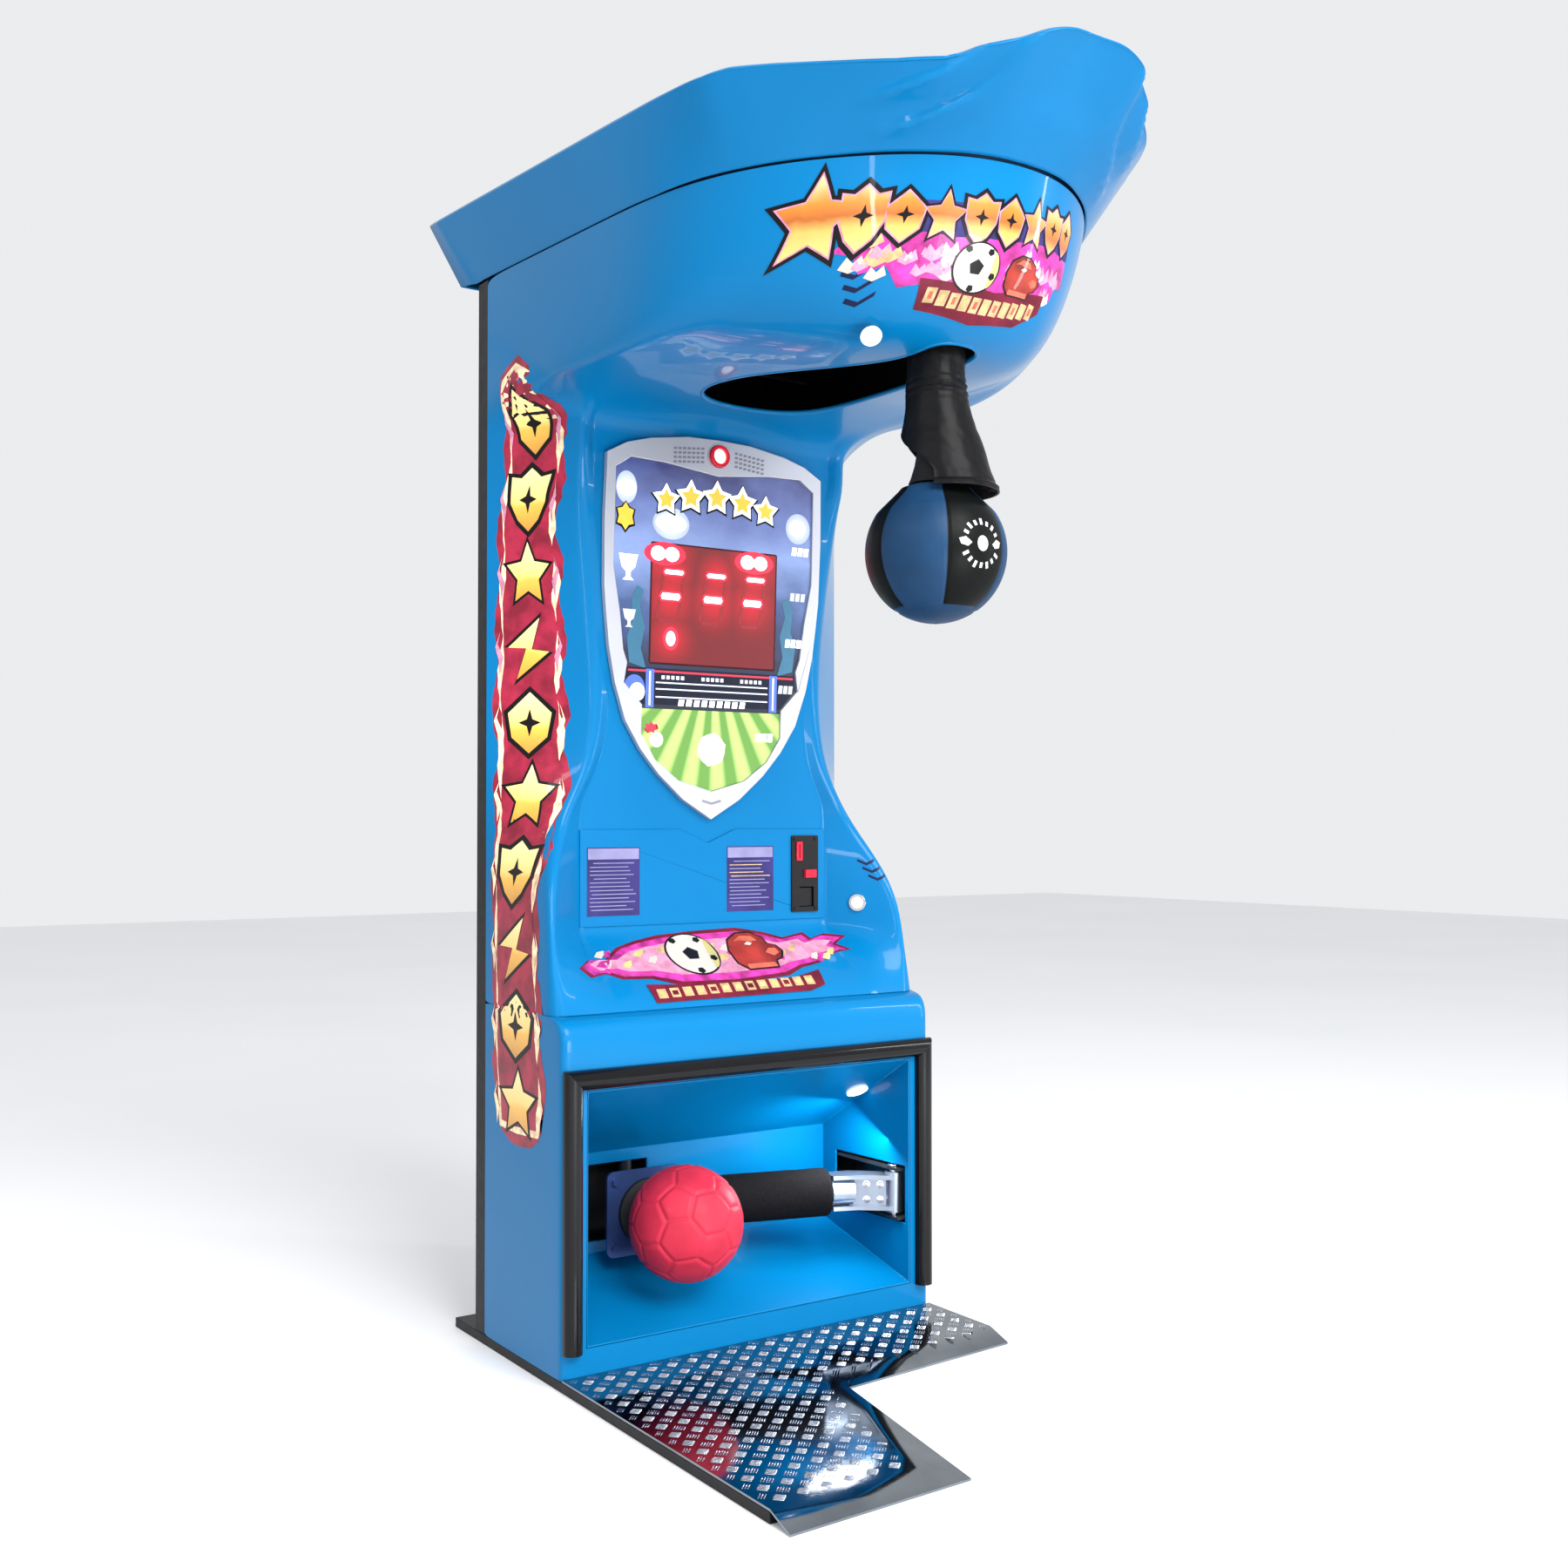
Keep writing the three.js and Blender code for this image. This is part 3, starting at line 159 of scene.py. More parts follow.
def material(name, color, rough, metal=0.0, vary=0.12, vary_scale=6.0, rough_vary=0.06, coat=0.0,
             bump=0.0, bump_scale=400.0, bump_size=0.0005, stretch=(1, 1, 1), specular=0.16, coat_ior=1.3):
    """Surface with a slow colour drift, uneven roughness and a fine relief."""
    mat, tree, shader = blank(name)
    darker = tuple(c * (1 - vary) for c in color)
    lighter = tuple(min(1, c * (1 + vary)) for c in color)
    drift = noise_fac(tree, vary_scale, 4, stretch)
    tree.links.new(blend_colors(tree, drift, darker, lighter), shader.inputs["Base Color"])
    uneven = noise_fac(tree, vary_scale * 9, 5, stretch)
    low = max(0.02, rough - rough_vary)
    tree.links.new(to_range(tree, uneven, low, rough + rough_vary), shader.inputs["Roughness"])
    shader.inputs["Metallic"].default_value = metal
    shader.inputs["Specular IOR Level"].default_value = specular
    shader.inputs["Coat Weight"].default_value = coat
    shader.inputs["Coat Roughness"].default_value = 0.03
    shader.inputs["Coat IOR"].default_value = coat_ior
    if bump:
        add_bump(tree, shader, noise_fac(tree, bump_scale, 6, stretch), bump, bump_size)
    return mat


def glowing(name, color, strength, base=None):
    """Lit plastic: a diffuser with light behind it."""
    mat, tree, shader = blank(name)
    drift = noise_fac(tree, 60, 2)
    tint = base or color
    tree.links.new(blend_colors(tree, drift, tint, tuple(c * 0.92 for c in tint)),
                   shader.inputs["Base Color"])
    shader.inputs["Roughness"].default_value = 0.3
    shader.inputs["Emission Color"].default_value = (*color, 1)
    shader.inputs["Emission Strength"].default_value = strength
    return mat


BLUE = material("gloss_blue", (0.0, 0.132, 0.325), 0.32, vary=0.04, vary_scale=1.5, rough_vary=0.03,
                coat=0.5, specular=0.08, coat_ior=1.25,
                bump=0.04, bump_scale=14, bump_size=0.002)
INSIDE = material("moulding_inside", (0.012, 0.013, 0.016), 0.8, bump=0.6, bump_scale=120, bump_size=0.001)
BOARD = material("black_board", (0.006, 0.006, 0.007), 0.42, bump=0.25, bump_scale=260, rough_vary=0.1)
RUBBER = material("black_rubber", (0.012, 0.012, 0.013), 0.6, bump=0.2, bump_scale=500)
BUMPER = material("bumper_gloss", (0.003, 0.003, 0.004), 0.16, coat=0.35, bump=0.06, bump_scale=30,
                  bump_size=0.001)
FOAM = material("foam", (0.006, 0.006, 0.007), 0.88, bump=0.9, bump_scale=1500, bump_size=0.0006, vary=0.3,
                vary_scale=300, specular=0.05)
VINYL = material("black_vinyl", (0.003, 0.003, 0.0035), 0.40, bump=0.35, bump_scale=520, bump_size=0.0003,
                 rough_vary=0.08, specular=0.09)
PLASTIC = material("black_plastic", (0.007, 0.007, 0.008), 0.38, bump=0.35, bump_scale=1400, bump_size=0.0002)
SILVER = material("silver_trim", (0.44, 0.45, 0.50), 0.36, metal=0.5, vary=0.06, vary_scale=3, coat=0.4)
STEEL = material("steel", (0.33, 0.38, 0.46), 0.3, metal=0.95, vary=0.15, vary_scale=9, bump=0.25,
                 bump_scale=700, stretch=(1, 1, 0.06), bump_size=0.0002)
END_PLATE = material("end_plate", (0.035, 0.065, 0.19), 0.3, metal=0.5, vary=0.15, vary_scale=9, bump=0.2,
                     bump_scale=500)
DARK_STEEL = material("dark_steel", (0.045, 0.05, 0.055), 0.33, metal=0.7, vary=0.3, vary_scale=14, bump=0.2,
                      bump_scale=300)
IRON = material("cast_iron", (0.10, 0.10, 0.11), 0.6, metal=0.8, bump=0.6, bump_scale=300)
CHROME = material("chrome", (0.78, 0.79, 0.81), 0.08, metal=1.0, vary=0.04, rough_vary=0.03)
RED_PLASTIC = material("red_plastic", (0.62, 0.012, 0.035), 0.25, coat=0.4)
TREAD = material("tread_aluminium", (0.20, 0.225, 0.25), 0.08, metal=1.0, vary=0.14, vary_scale=10,
                 rough_vary=0.05, bump=0.12, bump_scale=300, bump_size=0.0002)
TREAD_BAR = material("tread_bar", (0.46, 0.48, 0.52), 0.22, metal=1.0, vary=0.2, vary_scale=40,
                     rough_vary=0.1,
                     bump=0.3, bump_scale=700, bump_size=0.0002)
SEAL = material("seal", (0.0, 0.018, 0.055), 0.5)
CIRCUIT = material("circuit_board", (0.01, 0.12, 0.05), 0.4, bump=0.6, bump_scale=300, vary=0.3,
                   vary_scale=90)
LAMP_WHITE = glowing("lamp_white", (0.93, 0.96, 1.0), 3.0)
LAMP_WARM = glowing("lamp_warm", (1.0, 0.86, 0.70), 1.6)
DARK_GLASS = material("smoked_red", (0.045, 0.002, 0.004), 0.12, coat=1.0, vary=0.3, vary_scale=14)


# ---------- shape tools ----------
def link_mesh(name, mesh):
    made = bpy.data.objects.new(name, mesh)
    SCENE.collection.objects.link(made)
    return made


def build(name, points, faces, mats, smooth=True, face_mats=None):
    """Mesh object from points in millimetres."""
    mesh = bpy.data.meshes.new(name)
    mesh.from_pydata([Vector(p) * MM for p in points], [], faces)
    for mat in mats:
        mesh.materials.append(mat)
    for k, face in enumerate(mesh.polygons):
        face.use_smooth = smooth
        if face_mats:
            face.material_index = face_mats[k]
    mesh.update()
    return link_mesh(name, mesh)


def bake(made):
    """Applies the modifiers to the mesh."""
    view = bpy.context.evaluated_depsgraph_get()
    mesh = bpy.data.meshes.new_from_object(made.evaluated_get(view))
    made.modifiers.clear()
    made.data = mesh
    return made


def modifier(made, kind, **values):
    added = made.modifiers.new(kind.lower(), kind)
    for key, value in values.items():
        setattr(added, key, value)
    return added


def finish_piece(made, body, slot, *replaced):
    """Says which body a piece rides on and hides the CAD nodes that it replaces; the slot argument is not
    used.
    """
    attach(made, body)
    if replaced:
        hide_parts(*replaced)
    return made


def polish(name, mat, bevel=0.8, angle=32):
    """CAD node with its own shape kept: clean smooth shading and softened edges."""
    made = NODES[name]
    mesh = made.data
    if "custom_normal" in mesh.attributes:
        mesh.attributes.remove(mesh.attributes["custom_normal"])
    mesh.materials.clear()
    mesh.materials.append(mat)
    for face in mesh.polygons:
        face.material_index = 0
        face.use_smooth = True
    modifier(made, "WELD", merge_threshold=2e-5)
    modifier(made, "BEVEL", width=bevel * MM, segments=2, limit_method="ANGLE",
             angle_limit=math.radians(angle),
             harden_normals=True)
    modifier(made, "WEIGHTED_NORMAL", keep_sharp=True)
    return made


def lookup(table, value):
    """Straight-line value from a table of pairs."""
    if value <= table[0][0]:
        return table[0][1]
    for (x0, y0), (x1, y1) in zip(table, table[1:]):
        if value < x1:
            return y0 + (value - x0) / (x1 - x0) * (y1 - y0)
    return table[-1][1]


def ease(value):
    """Smooth step from 0 to 1."""
    t = min(1, max(0, value))
    return t * t * (3 - 2 * t)


def curve_through(points, steps=40):
    """Function of 0..1 along a centripetal curve through the points, even in length."""
    track = []
    ends = [points[0], *points, points[-1]]
    ends[0] = [2 * a - b for a, b in zip(points[0], points[1])]
    ends[-1] = [2 * a - b for a, b in zip(points[-1], points[-2])]
    ends = [Vector((*p, 0)) for p in ends]
    for p0, p1, p2, p3 in zip(ends, ends[1:], ends[2:], ends[3:]):
        t1 = math.sqrt((p1 - p0).length)
        t2 = t1 + math.sqrt((p2 - p1).length)
        t3 = t2 + math.sqrt((p3 - p2).length)
        for k in range(steps):
            t = t1 + (t2 - t1) * k / steps
            a1 = p0.lerp(p1, t / t1)
            a2 = p1.lerp(p2, (t - t1) / (t2 - t1))
            a3 = p2.lerp(p3, (t - t2) / (t3 - t2))
            b1 = a1.lerp(a2, t / t2)
            b2 = a2.lerp(a3, (t - t1) / (t3 - t1))
            track.append(b1.lerp(b2, (t - t1) / (t2 - t1)))
    track.append(ends[-2])
    lengths = [0]
    for a, b in zip(track, track[1:]):
        lengths.append(lengths[-1] + (b - a).length)

    def at(share):
        want = share * lengths[-1]
        low, high = 0, len(track) - 1
        while high - low > 1:
            middle = (low + high) // 2
            if lengths[middle] <= want:
                low = middle
            else:
                high = middle
        part = (want - lengths[low]) / max(1e-9, lengths[high] - lengths[low])
        return track[low].lerp(track[high], part)

    return at


def grid_faces(rows, columns, loop=False):
    """Quads between the rows of a grid of points, closed round if loop."""
    faces = []
    wide = columns if loop else columns - 1
    for v in range(rows - 1):
        for u in range(wide):
            a = v * columns + u
            b = v * columns + (u + 1) % columns
            faces.append((a, b, b + columns, a + columns))
    return faces


def lathe(name, profile, centre, mats, segments=64, shape=None, face_mat=None):
    """Turned form about a vertical line; shape(angle, k, r, z) may move a point."""
    points = []
    for k, (r, z) in enumerate(profile):
        for s in range(segments):
            angle = 2 * math.pi * s / segments
            r2, z2 = shape(angle, k, r, z) if shape else (r, z)
            points.append((centre[0] + r2 * math.cos(angle), centre[1] + r2 * math.sin(angle), z2))
    faces = grid_faces(len(profile), segments, loop=True)
    picks = [face_mat((f % segments + 0.5) / segments * 2 * math.pi,
                      f // segments) for f in range(len(faces))] \
        if face_mat else None
    return build(name, points, faces, mats, face_mats=picks)


def ring_points(cx, cy, rx, ry, count=28, start=0.0, stop=2 * math.pi):
    """Points round an ellipse or a part of it."""
    return [(cx + rx * math.cos(start + (stop - start) * k / count),
             cy + ry * math.sin(start + (stop - start) * k / count))
            for k in range(count)]


def star(cx, cy, rx, ry, points=5, inner=0.45, turn=math.pi / 2):
    """Outline of a star."""
    out = []
    for k in range(points * 2):
        r = 1 if k % 2 == 0 else inner
        a = turn + math.pi * k / points
        out.append((cx + rx * r * math.cos(a), cy + ry * r * math.sin(a)))
    return out


def rect(x0, x1, y0, y1, lean=0.0):
    """Outline of a box, or of a leaning one."""
    return [(x0, y0), (x1, y0), (x1 + lean, y1), (x0 + lean, y1)]


# ---------- cabinet shell ----------
HALF, REAR = 400, 314
LEDGE, NECK_TOP, RIM = 630, 1640, 1940
SHELL_WALL = 5
DISPLAY_CUT, COIN_CUT, RECESS_CUT = (-146, 146, 1256, 1496), (200, 252, 795, 930), (-352, 352, 68, 504)
CORNER_HALF = [
    (630, 398), (680, 395), (760, 391), (800, 388), (840, 381), (880, 369), (920, 352), (960, 330),
    (1000, 305), (1050, 276), (1100, 259), (1150, 251), (1200, 248), (1300, 257), (1400, 272), (1500, 285),
    (1640, 292),
]
CORNER_BACK = [
    (630, 39), (680, 44), (760, 56), (800, 65), (840, 78), (880, 99), (920, 123), (960, 143), (1000, 154),
    (1100, 161), (1200, 166), (1300, 172), (1400, 174), (1500, 168), (1560, 158), (1640, 132),
]
MIDDLE_BACK = [
    (630, 39), (650, 50), (680, 84), (705, 118), (730, 152), (750, 172), (764, 181.5), (780, 182),
    (968, 182), (1640, 154.3),
]
SIDE_STEPS, WING_STEPS, MIDDLE_STEPS = 4, 3, 3
CREASE_COLUMNS = {4: 0.35, 6: 0.35, 9: 0.75}


def neck_half(z):
    """Left half of the neck section at a height, from the rear corner to the middle of the front."""
    half = lookup(CORNER_HALF, z)
    back = lookup(CORNER_BACK, z)
    middle = lookup(MIDDLE_BACK, z)
    flat = min(275, half - 30)
    rear = Vector((-HALF, REAR))
    corner = Vector((-half, back))
    inner = Vector((-flat, middle))
    radius = min(22, (inner - corner).length * 0.45)
    from_side = corner + (rear - corner).normalized() * radius
    to_wing = corner + (inner - corner).normalized() * radius
    points = [rear.lerp(from_side, k / SIDE_STEPS) for k in range(SIDE_STEPS + 1)]
    points.append(corner.lerp(from_side, 0.5).lerp(corner.lerp(to_wing, 0.5), 0.5))
    points += [to_wing.lerp(inner, k / WING_STEPS) for k in range(WING_STEPS + 1)]
    points += [Vector((-flat * (1 - k / MIDDLE_STEPS), middle)) for k in range(1, MIDDLE_STEPS + 1)]
    return points


RIM_AT = curve_through([
    (-400, REAR), (-400, 150), (-400, 0), (-400, -150), (-399, -250), (-391, -330), (-372, -400),
    (-341, -468), (-300, -532), (-250, -590), (-200, -638), (-150, -673), (-100, -700), (-50, -714),
    (0, -718),
])
FLARE = [
    (0.5, 0, 1670, 1670), (1.5, 0, 1692, 1692), (7, 0, 1704, 1704), (20, 0, 1716, 1716),
    (42, 0, 1728, 1728), (66, 0.02, 1736, 1736), (70, 0.14, 1741, 1739), (55, 0.28, 1742, 1733),
    (38, 0.4, 1742, 1724), (22, 0.52, 1742, 1714), (8, 0.62, 1742, 1706), (0, 0.7, 1744, 1700),
    (0, 0.77, 1751, 1697),
    (0, 0.84, 1771, 1703), (0, 0.9, 1808, 1738), (0, 0.945, 1850, 1796), (0, 0.98, 1897, 1872), (0, 1, RIM,
                                                                                                 RIM),
]


def rim_height(y):
    """Height of the rim of the head, which climbs towards the rear."""
    return RIM + 0.0635 * max(0, y + 300)


def with_mirror(half):
    """Left half followed by its mirror image."""
    return half + [Vector((-p.x, p.y, p.z)) for p in reversed(half[:-1])]


def flare_row(level, step):
    """One level of the head as it spreads from the neck out to the rim."""
    start, further, side_height, front_height = level
    neck = neck_half(NECK_TOP)
    half = []
    for k, a in enumerate(neck):
        rim = RIM_AT((k / (len(neck) - 1)) ** 0.9)
        b = Vector((rim.x, rim.y))
        reach = (b - a).length
        share = min(1, further + start / max(1, reach))
        p = a.lerp(b, share)
        top = rim_height(b.y)
        height = side_height + (front_height - side_height) * ease((-b.y - 530) / 170)
        even = NECK_TOP + (top - NECK_TOP) * step / len(FLARE)
        path = NECK_TOP + (height - NECK_TOP) * (top - NECK_TOP) / (RIM - NECK_TOP)
        half.append(Vector((p.x, p.y, even + (path - even) * ease((reach - 10) / 220))))
    return with_mirror(half)


def crease_columns(made, rows, columns, creases):
    """Holds vertical lines of the grid under subdivision."""
    mesh = made.data
    layer = mesh.attributes.new("crease_edge", "FLOAT", "EDGE")
    lines = {}
    for column, value in creases.items():
        lines[column] = value
        lines[columns - 1 - column] = value
    for edge in mesh.edges:
        a, b = edge.vertices
        if a % columns == b % columns and a % columns in lines and max(a, b) // columns < rows:
            layer.data[edge.index].value = lines[a % columns]


def opening_outline():
    """Half plan of the opening under the head, front to rear, on the +X side."""
    def quad(p0, p1, p2, t):
        return p0.lerp(p1, t).lerp(p1.lerp(p2, t), t)

    def cubic(p0, p1, p2, p3, t):
        return quad(p0, p1, p2, t).lerp(quad(p1, p2, p3, t), t)

    v = lambda x, y: Vector((x, y))
    steps = 14
    half = [quad(v(0, -572), v(52, -572), v(52, -530), k / steps) for k in range(steps)]
    half += [cubic(v(52, -530), v(66, -400), v(142, -220), v(142, -80), k / steps) for k in range(steps)]
    half += [cubic(v(142, -80), v(142, 20), v(90, 52), v(0, 52), k / steps) for k in range(steps + 1)]
    return half


def prism_object(name, outline, axis, low, high):
    """Straight-sided solid for cutting: outline in the plane across the axis."""
    def lift(p, level):
        return (p[0], p[1], level) if axis == "z" else (p[0], level, p[1])
    points = [lift(p, low) for p in outline] + [lift(p, high) for p in outline]
    n = len(outline)
    faces = [tuple(range(n))[::-1], tuple(range(n, 2 * n))]
    faces += [(k, (k + 1) % n, n + (k + 1) % n, n + k) for k in range(n)]
    made = build(name, points, faces, [INSIDE], smooth=False)
    repair = bmesh.new()
    repair.from_mesh(made.data)
    bmesh.ops.recalc_face_normals(repair, faces=repair.faces)
    repair.to_mesh(made.data)
    repair.free()
    return made


def smooth_round(made, angle):
    """Smooth shading that keeps edges sharper than the angle, in degrees."""
    for face in made.data.polygons:
        face.use_smooth = True
    made.data.set_sharp_from_angle(angle=math.radians(angle))


def cut_with(made, cutter):
    """Takes one solid out of a piece."""
    modifier(made, "BOOLEAN", operation="DIFFERENCE", object=cutter, solver="EXACT")
    bake(made)
    bpy.data.objects.remove(cutter)


def shell_surface(made):
    """Search tree of a piece's surface, for laying decals on it."""
    deps = bpy.context.evaluated_depsgraph_get()
    return BVHTree.FromObject(made, deps)


def upper_shell():
    """Neck and head in one moulding, with the openings for ball, display and coins."""
    heights = [
        LEDGE + 0.3, 640, 655, 680, 705, 730, 750, 764, 780, 800, 840, 880, 920, 960, 1000, 1050, 1100,
        1160, 1230,
        1310, 1400, 1490, 1570, 1610, NECK_TOP,
    ]
    rows = [with_mirror([Vector((p.x, p.y, z)) for p in neck_half(z)]) for z in heights]
    rows += [flare_row(level, k + 1) for k, level in enumerate(FLARE)]
    columns = len(rows[0])
    points = [p for row in rows for p in row]
    made = build("upper_shell_skin", points, grid_faces(len(rows), columns), [BLUE, INSIDE])
    crease_columns(made, len(heights), columns, CREASE_COLUMNS)
    modifier(made, "SUBSURF", levels=3, render_levels=3)
    bake(made)
    outside = shell_surface(made)
    modifier(made, "SOLIDIFY", thickness=SHELL_WALL * MM, offset=-1, material_offset=1, material_offset_rim=0)
    bake(made)
    half = opening_outline()
    outline = half + [Vector((-p.x, p.y)) for p in reversed(half[1:-1])]
    cut_with(made, prism_object("cut_mouth", outline, "z", 1600, 1860))
    cut_with(made, prism_object("cut_display", rect(*DISPLAY_CUT), "y", 60, 220))
    cut_with(made, prism_object("cut_coin", rect(*COIN_CUT), "y", 100, 260))
    smooth_round(made, 40)
    finish_piece(made, "cabinet", "blue_gloss", "upper_shell")
    return outside, outline


SHELL_SURFACE, MOUTH_OUTLINE = upper_shell()


def mouth_lip():
    """Rolled edge of the opening under the head."""
    path = []
    for p in MOUTH_OUTLINE:
        hit = SHELL_SURFACE.ray_cast(Vector((p.x, p.y, 1500)) * MM, Vector((0, 0, 1)))
        if hit[0] is not None:
            path.append(Vector((p.x, p.y, hit[0].z / MM)))
    n = len(path)
    points = []
    sides, radius, rise = 12, 4.5, 2.5
    for k, p in enumerate(path):
        ahead = (path[(k + 1) % n] - path[k - 1]).normalized()
        across = ahead.cross(Vector((0, 0, 1))).normalized()
        up = across.cross(ahead)
        for s in range(sides):
            angle = 2 * math.pi * s / sides
            points.append(p + across * radius * math.cos(angle) + up * (rise + radius * math.sin(angle)))
    faces = []
    for k in range(n):
        for s in range(sides):
            a, b = k * sides, ((k + 1) % n) * sides
            faces.append((a + s, a + (s + 1) % sides, b + (s + 1) % sides, b + s))
    made = build("mouth_lip", points, faces, [BLUE])
    modifier(made, "SUBSURF", levels=1, render_levels=1)
    return finish_piece(made, "cabinet", "blue_gloss")


mouth_lip()


# ---------- canopy ----------
EDGE_AT = curve_through([
    (-445, 487), (-443, 330), (-440, 150), (-437, -50), (-434, -250), (-430, -380), (-420, -476),
    (-400, -521), (-360, -580), (-300, -663), (-250, -724), (-200, -773), (-150, -810), (-100, -842),
    (-50, -861), (0, -866),
])
EDGE_HEIGHT = [
    (-866, 2075), (-842, 2056), (-810, 2044), (-773, 2031), (-724, 2032), (-663, 2040), (-580, 2052),
    (-521, 2058), (-476, 2056), (487, 2121),
]


def soft_step(x, width):
    """Smooth rise from 0 to 1 round zero."""
    return 0.5 + 0.5 * math.tanh(x / width)


RIDGE_LOW = [(0.0, 0.772), (0.25, 0.806), (0.375, 0.849), (0.56, 0.890), (0.725, 0.909), (0.95, 0.921),
             (1.0, 0.93)]
RIDGE_HIGH = [(0.0, 0.70), (0.5, 0.765), (0.63, 0.794), (0.85, 0.851), (1.0, 0.88)]


def canopy_wave(along, share):
    """Flowing ridges pressed into the front of the canopy: each rises at once and then dies away."""
    total = 0
    for ridge, start, span, height, run in ((RIDGE_HIGH, 0.48, 0.3, 15, 0.15),
                                            (RIDGE_LOW, 0.10, 0.35, 17, 0.10)):
        past = along - lookup(ridge, share)
        rise = soft_step(past, 0.006)
        total += ease((share - start) / span) * height * rise * (1 - 0.75 * ease(past / run))
    return total - 6 * ease((share - 0.2) / 0.6) * ease((along - 0.8) / 0.1)


def canopy():
    """Flared canopy above the head, open below."""
    steps = 170
    shares = [0, 0.03, 0.09, 0.16, 0.23, 0.3, 0.37, 0.44, 0.51, 0.58, 0.65, 0.72, 0.79, 0.86, 0.92, 0.965,
              0.985]

    def ring(share):
        half = []
        for k in range(steps + 1):
            along = (k / steps) ** 0.72
            edge = EDGE_AT(along)
            foot = RIM_AT(along).copy()
            if k == 0:
                foot = Vector((-410, 415, 0))
            elif k < 24:
                foot.y += (1 - k / 24) * 95
            low = rim_height(foot.y) + 3
            high = lookup(EDGE_HEIGHT, edge.y)
            p = foot.lerp(edge, share)
            out = Vector((p.x, p.y + 200, 0)).normalized()
            p += out * canopy_wave(along, share)
            p.z = low + (high - low) * share
            half.append(p)
        rear = half[0]
        left = [Vector((x, rear.y, rear.z)) for x in (-150, -300, -380)] + half
        right = [Vector((-p.x, p.y, p.z)) for p in reversed(left[:-1])]
        return [Vector((0, rear.y, rear.z)), *left, *right]

    rows = [ring(share) for share in shares]
    edge = ring(1)

    def inwards(share, drop):
        return [Vector((p.x * share, (p.y + 120) * share - 120, p.z + drop)) for p in edge]

    rows += [inwards(0.9985, -1.5), inwards(0.996, 1.5), inwards(0.985, 6), inwards(0.96, 9),
             inwards(0.9, 12),
             inwards(0.7, 15), inwards(0.45, 16)]
    columns = len(rows[0])
    points = [p for row in rows for p in row]
    centre = sum(rows[-1], Vector()) / columns
    faces = grid_faces(len(rows), columns, loop=True)
    top = (len(rows) - 1) * columns
    points.append(centre)
    faces += [(top + u, top + (u + 1) % columns, len(points) - 1) for u in range(columns)]
    made = build("canopy_skin", points, faces, [BLUE, INSIDE])
    modifier(made, "SOLIDIFY", thickness=SHELL_WALL * MM, offset=-1, material_offset=0, material_offset_rim=0)
    return finish_piece(bake(made), "cabinet", "blue_gloss", "canopy")


canopy()


# ---------- lower cabinet ----------
def lower_shell():
    """Lower cabinet with a rounded ledge and the mouth of the recess."""
    corner = 14
    levels = [(0, 18.3), (0, 24), (0, 60), (0, 180), (0, 300), (0, 430), (0, 540), (0, 585), (1.5, 597),
              (4, 606),
              (9, 615), (16, 622), (26, 626.5), (45, 630)]
    rows = []
    for front, z in levels:
        half = []
        spread = max(0.0, (z - 585) / 45)
        even = 585 + spread * 45
        for k in range(6):
            y = REAR + (front + corner - REAR) * k / 5
            height = even + (z - even) * k / 5 if z > 585 else z
            half.append(Vector((-HALF, y, height)))
        half += [Vector((-HALF + 1.2, front + 8, z)), Vector((-HALF + 4, front + 4, z)),
                 Vector((-HALF + 8, front + 1.2, z)), Vector((-HALF + corner, front, z))]
        half += [Vector((x, front, z)) for x in (-375, -355, -200, 0)]
        rows.append(with_mirror(half))
    columns = len(rows[0])
    points = [p for row in rows for p in row]
    made = build("lower_shell_skin", points, grid_faces(len(rows), columns), [BLUE, INSIDE])
    modifier(made, "SUBSURF", levels=2, render_levels=2)
    bake(made)
    modifier(made, "SOLIDIFY", thickness=SHELL_WALL * MM, offset=-1, material_offset=1, material_offset_rim=0)
    bake(made)
    cut_with(made, prism_object("cut_recess", rect(*RECESS_CUT), "y", -30, 30))
    smooth_round(made, 40)
    return finish_piece(made, "cabinet", "blue_gloss", "lower_shell")


lower_shell()

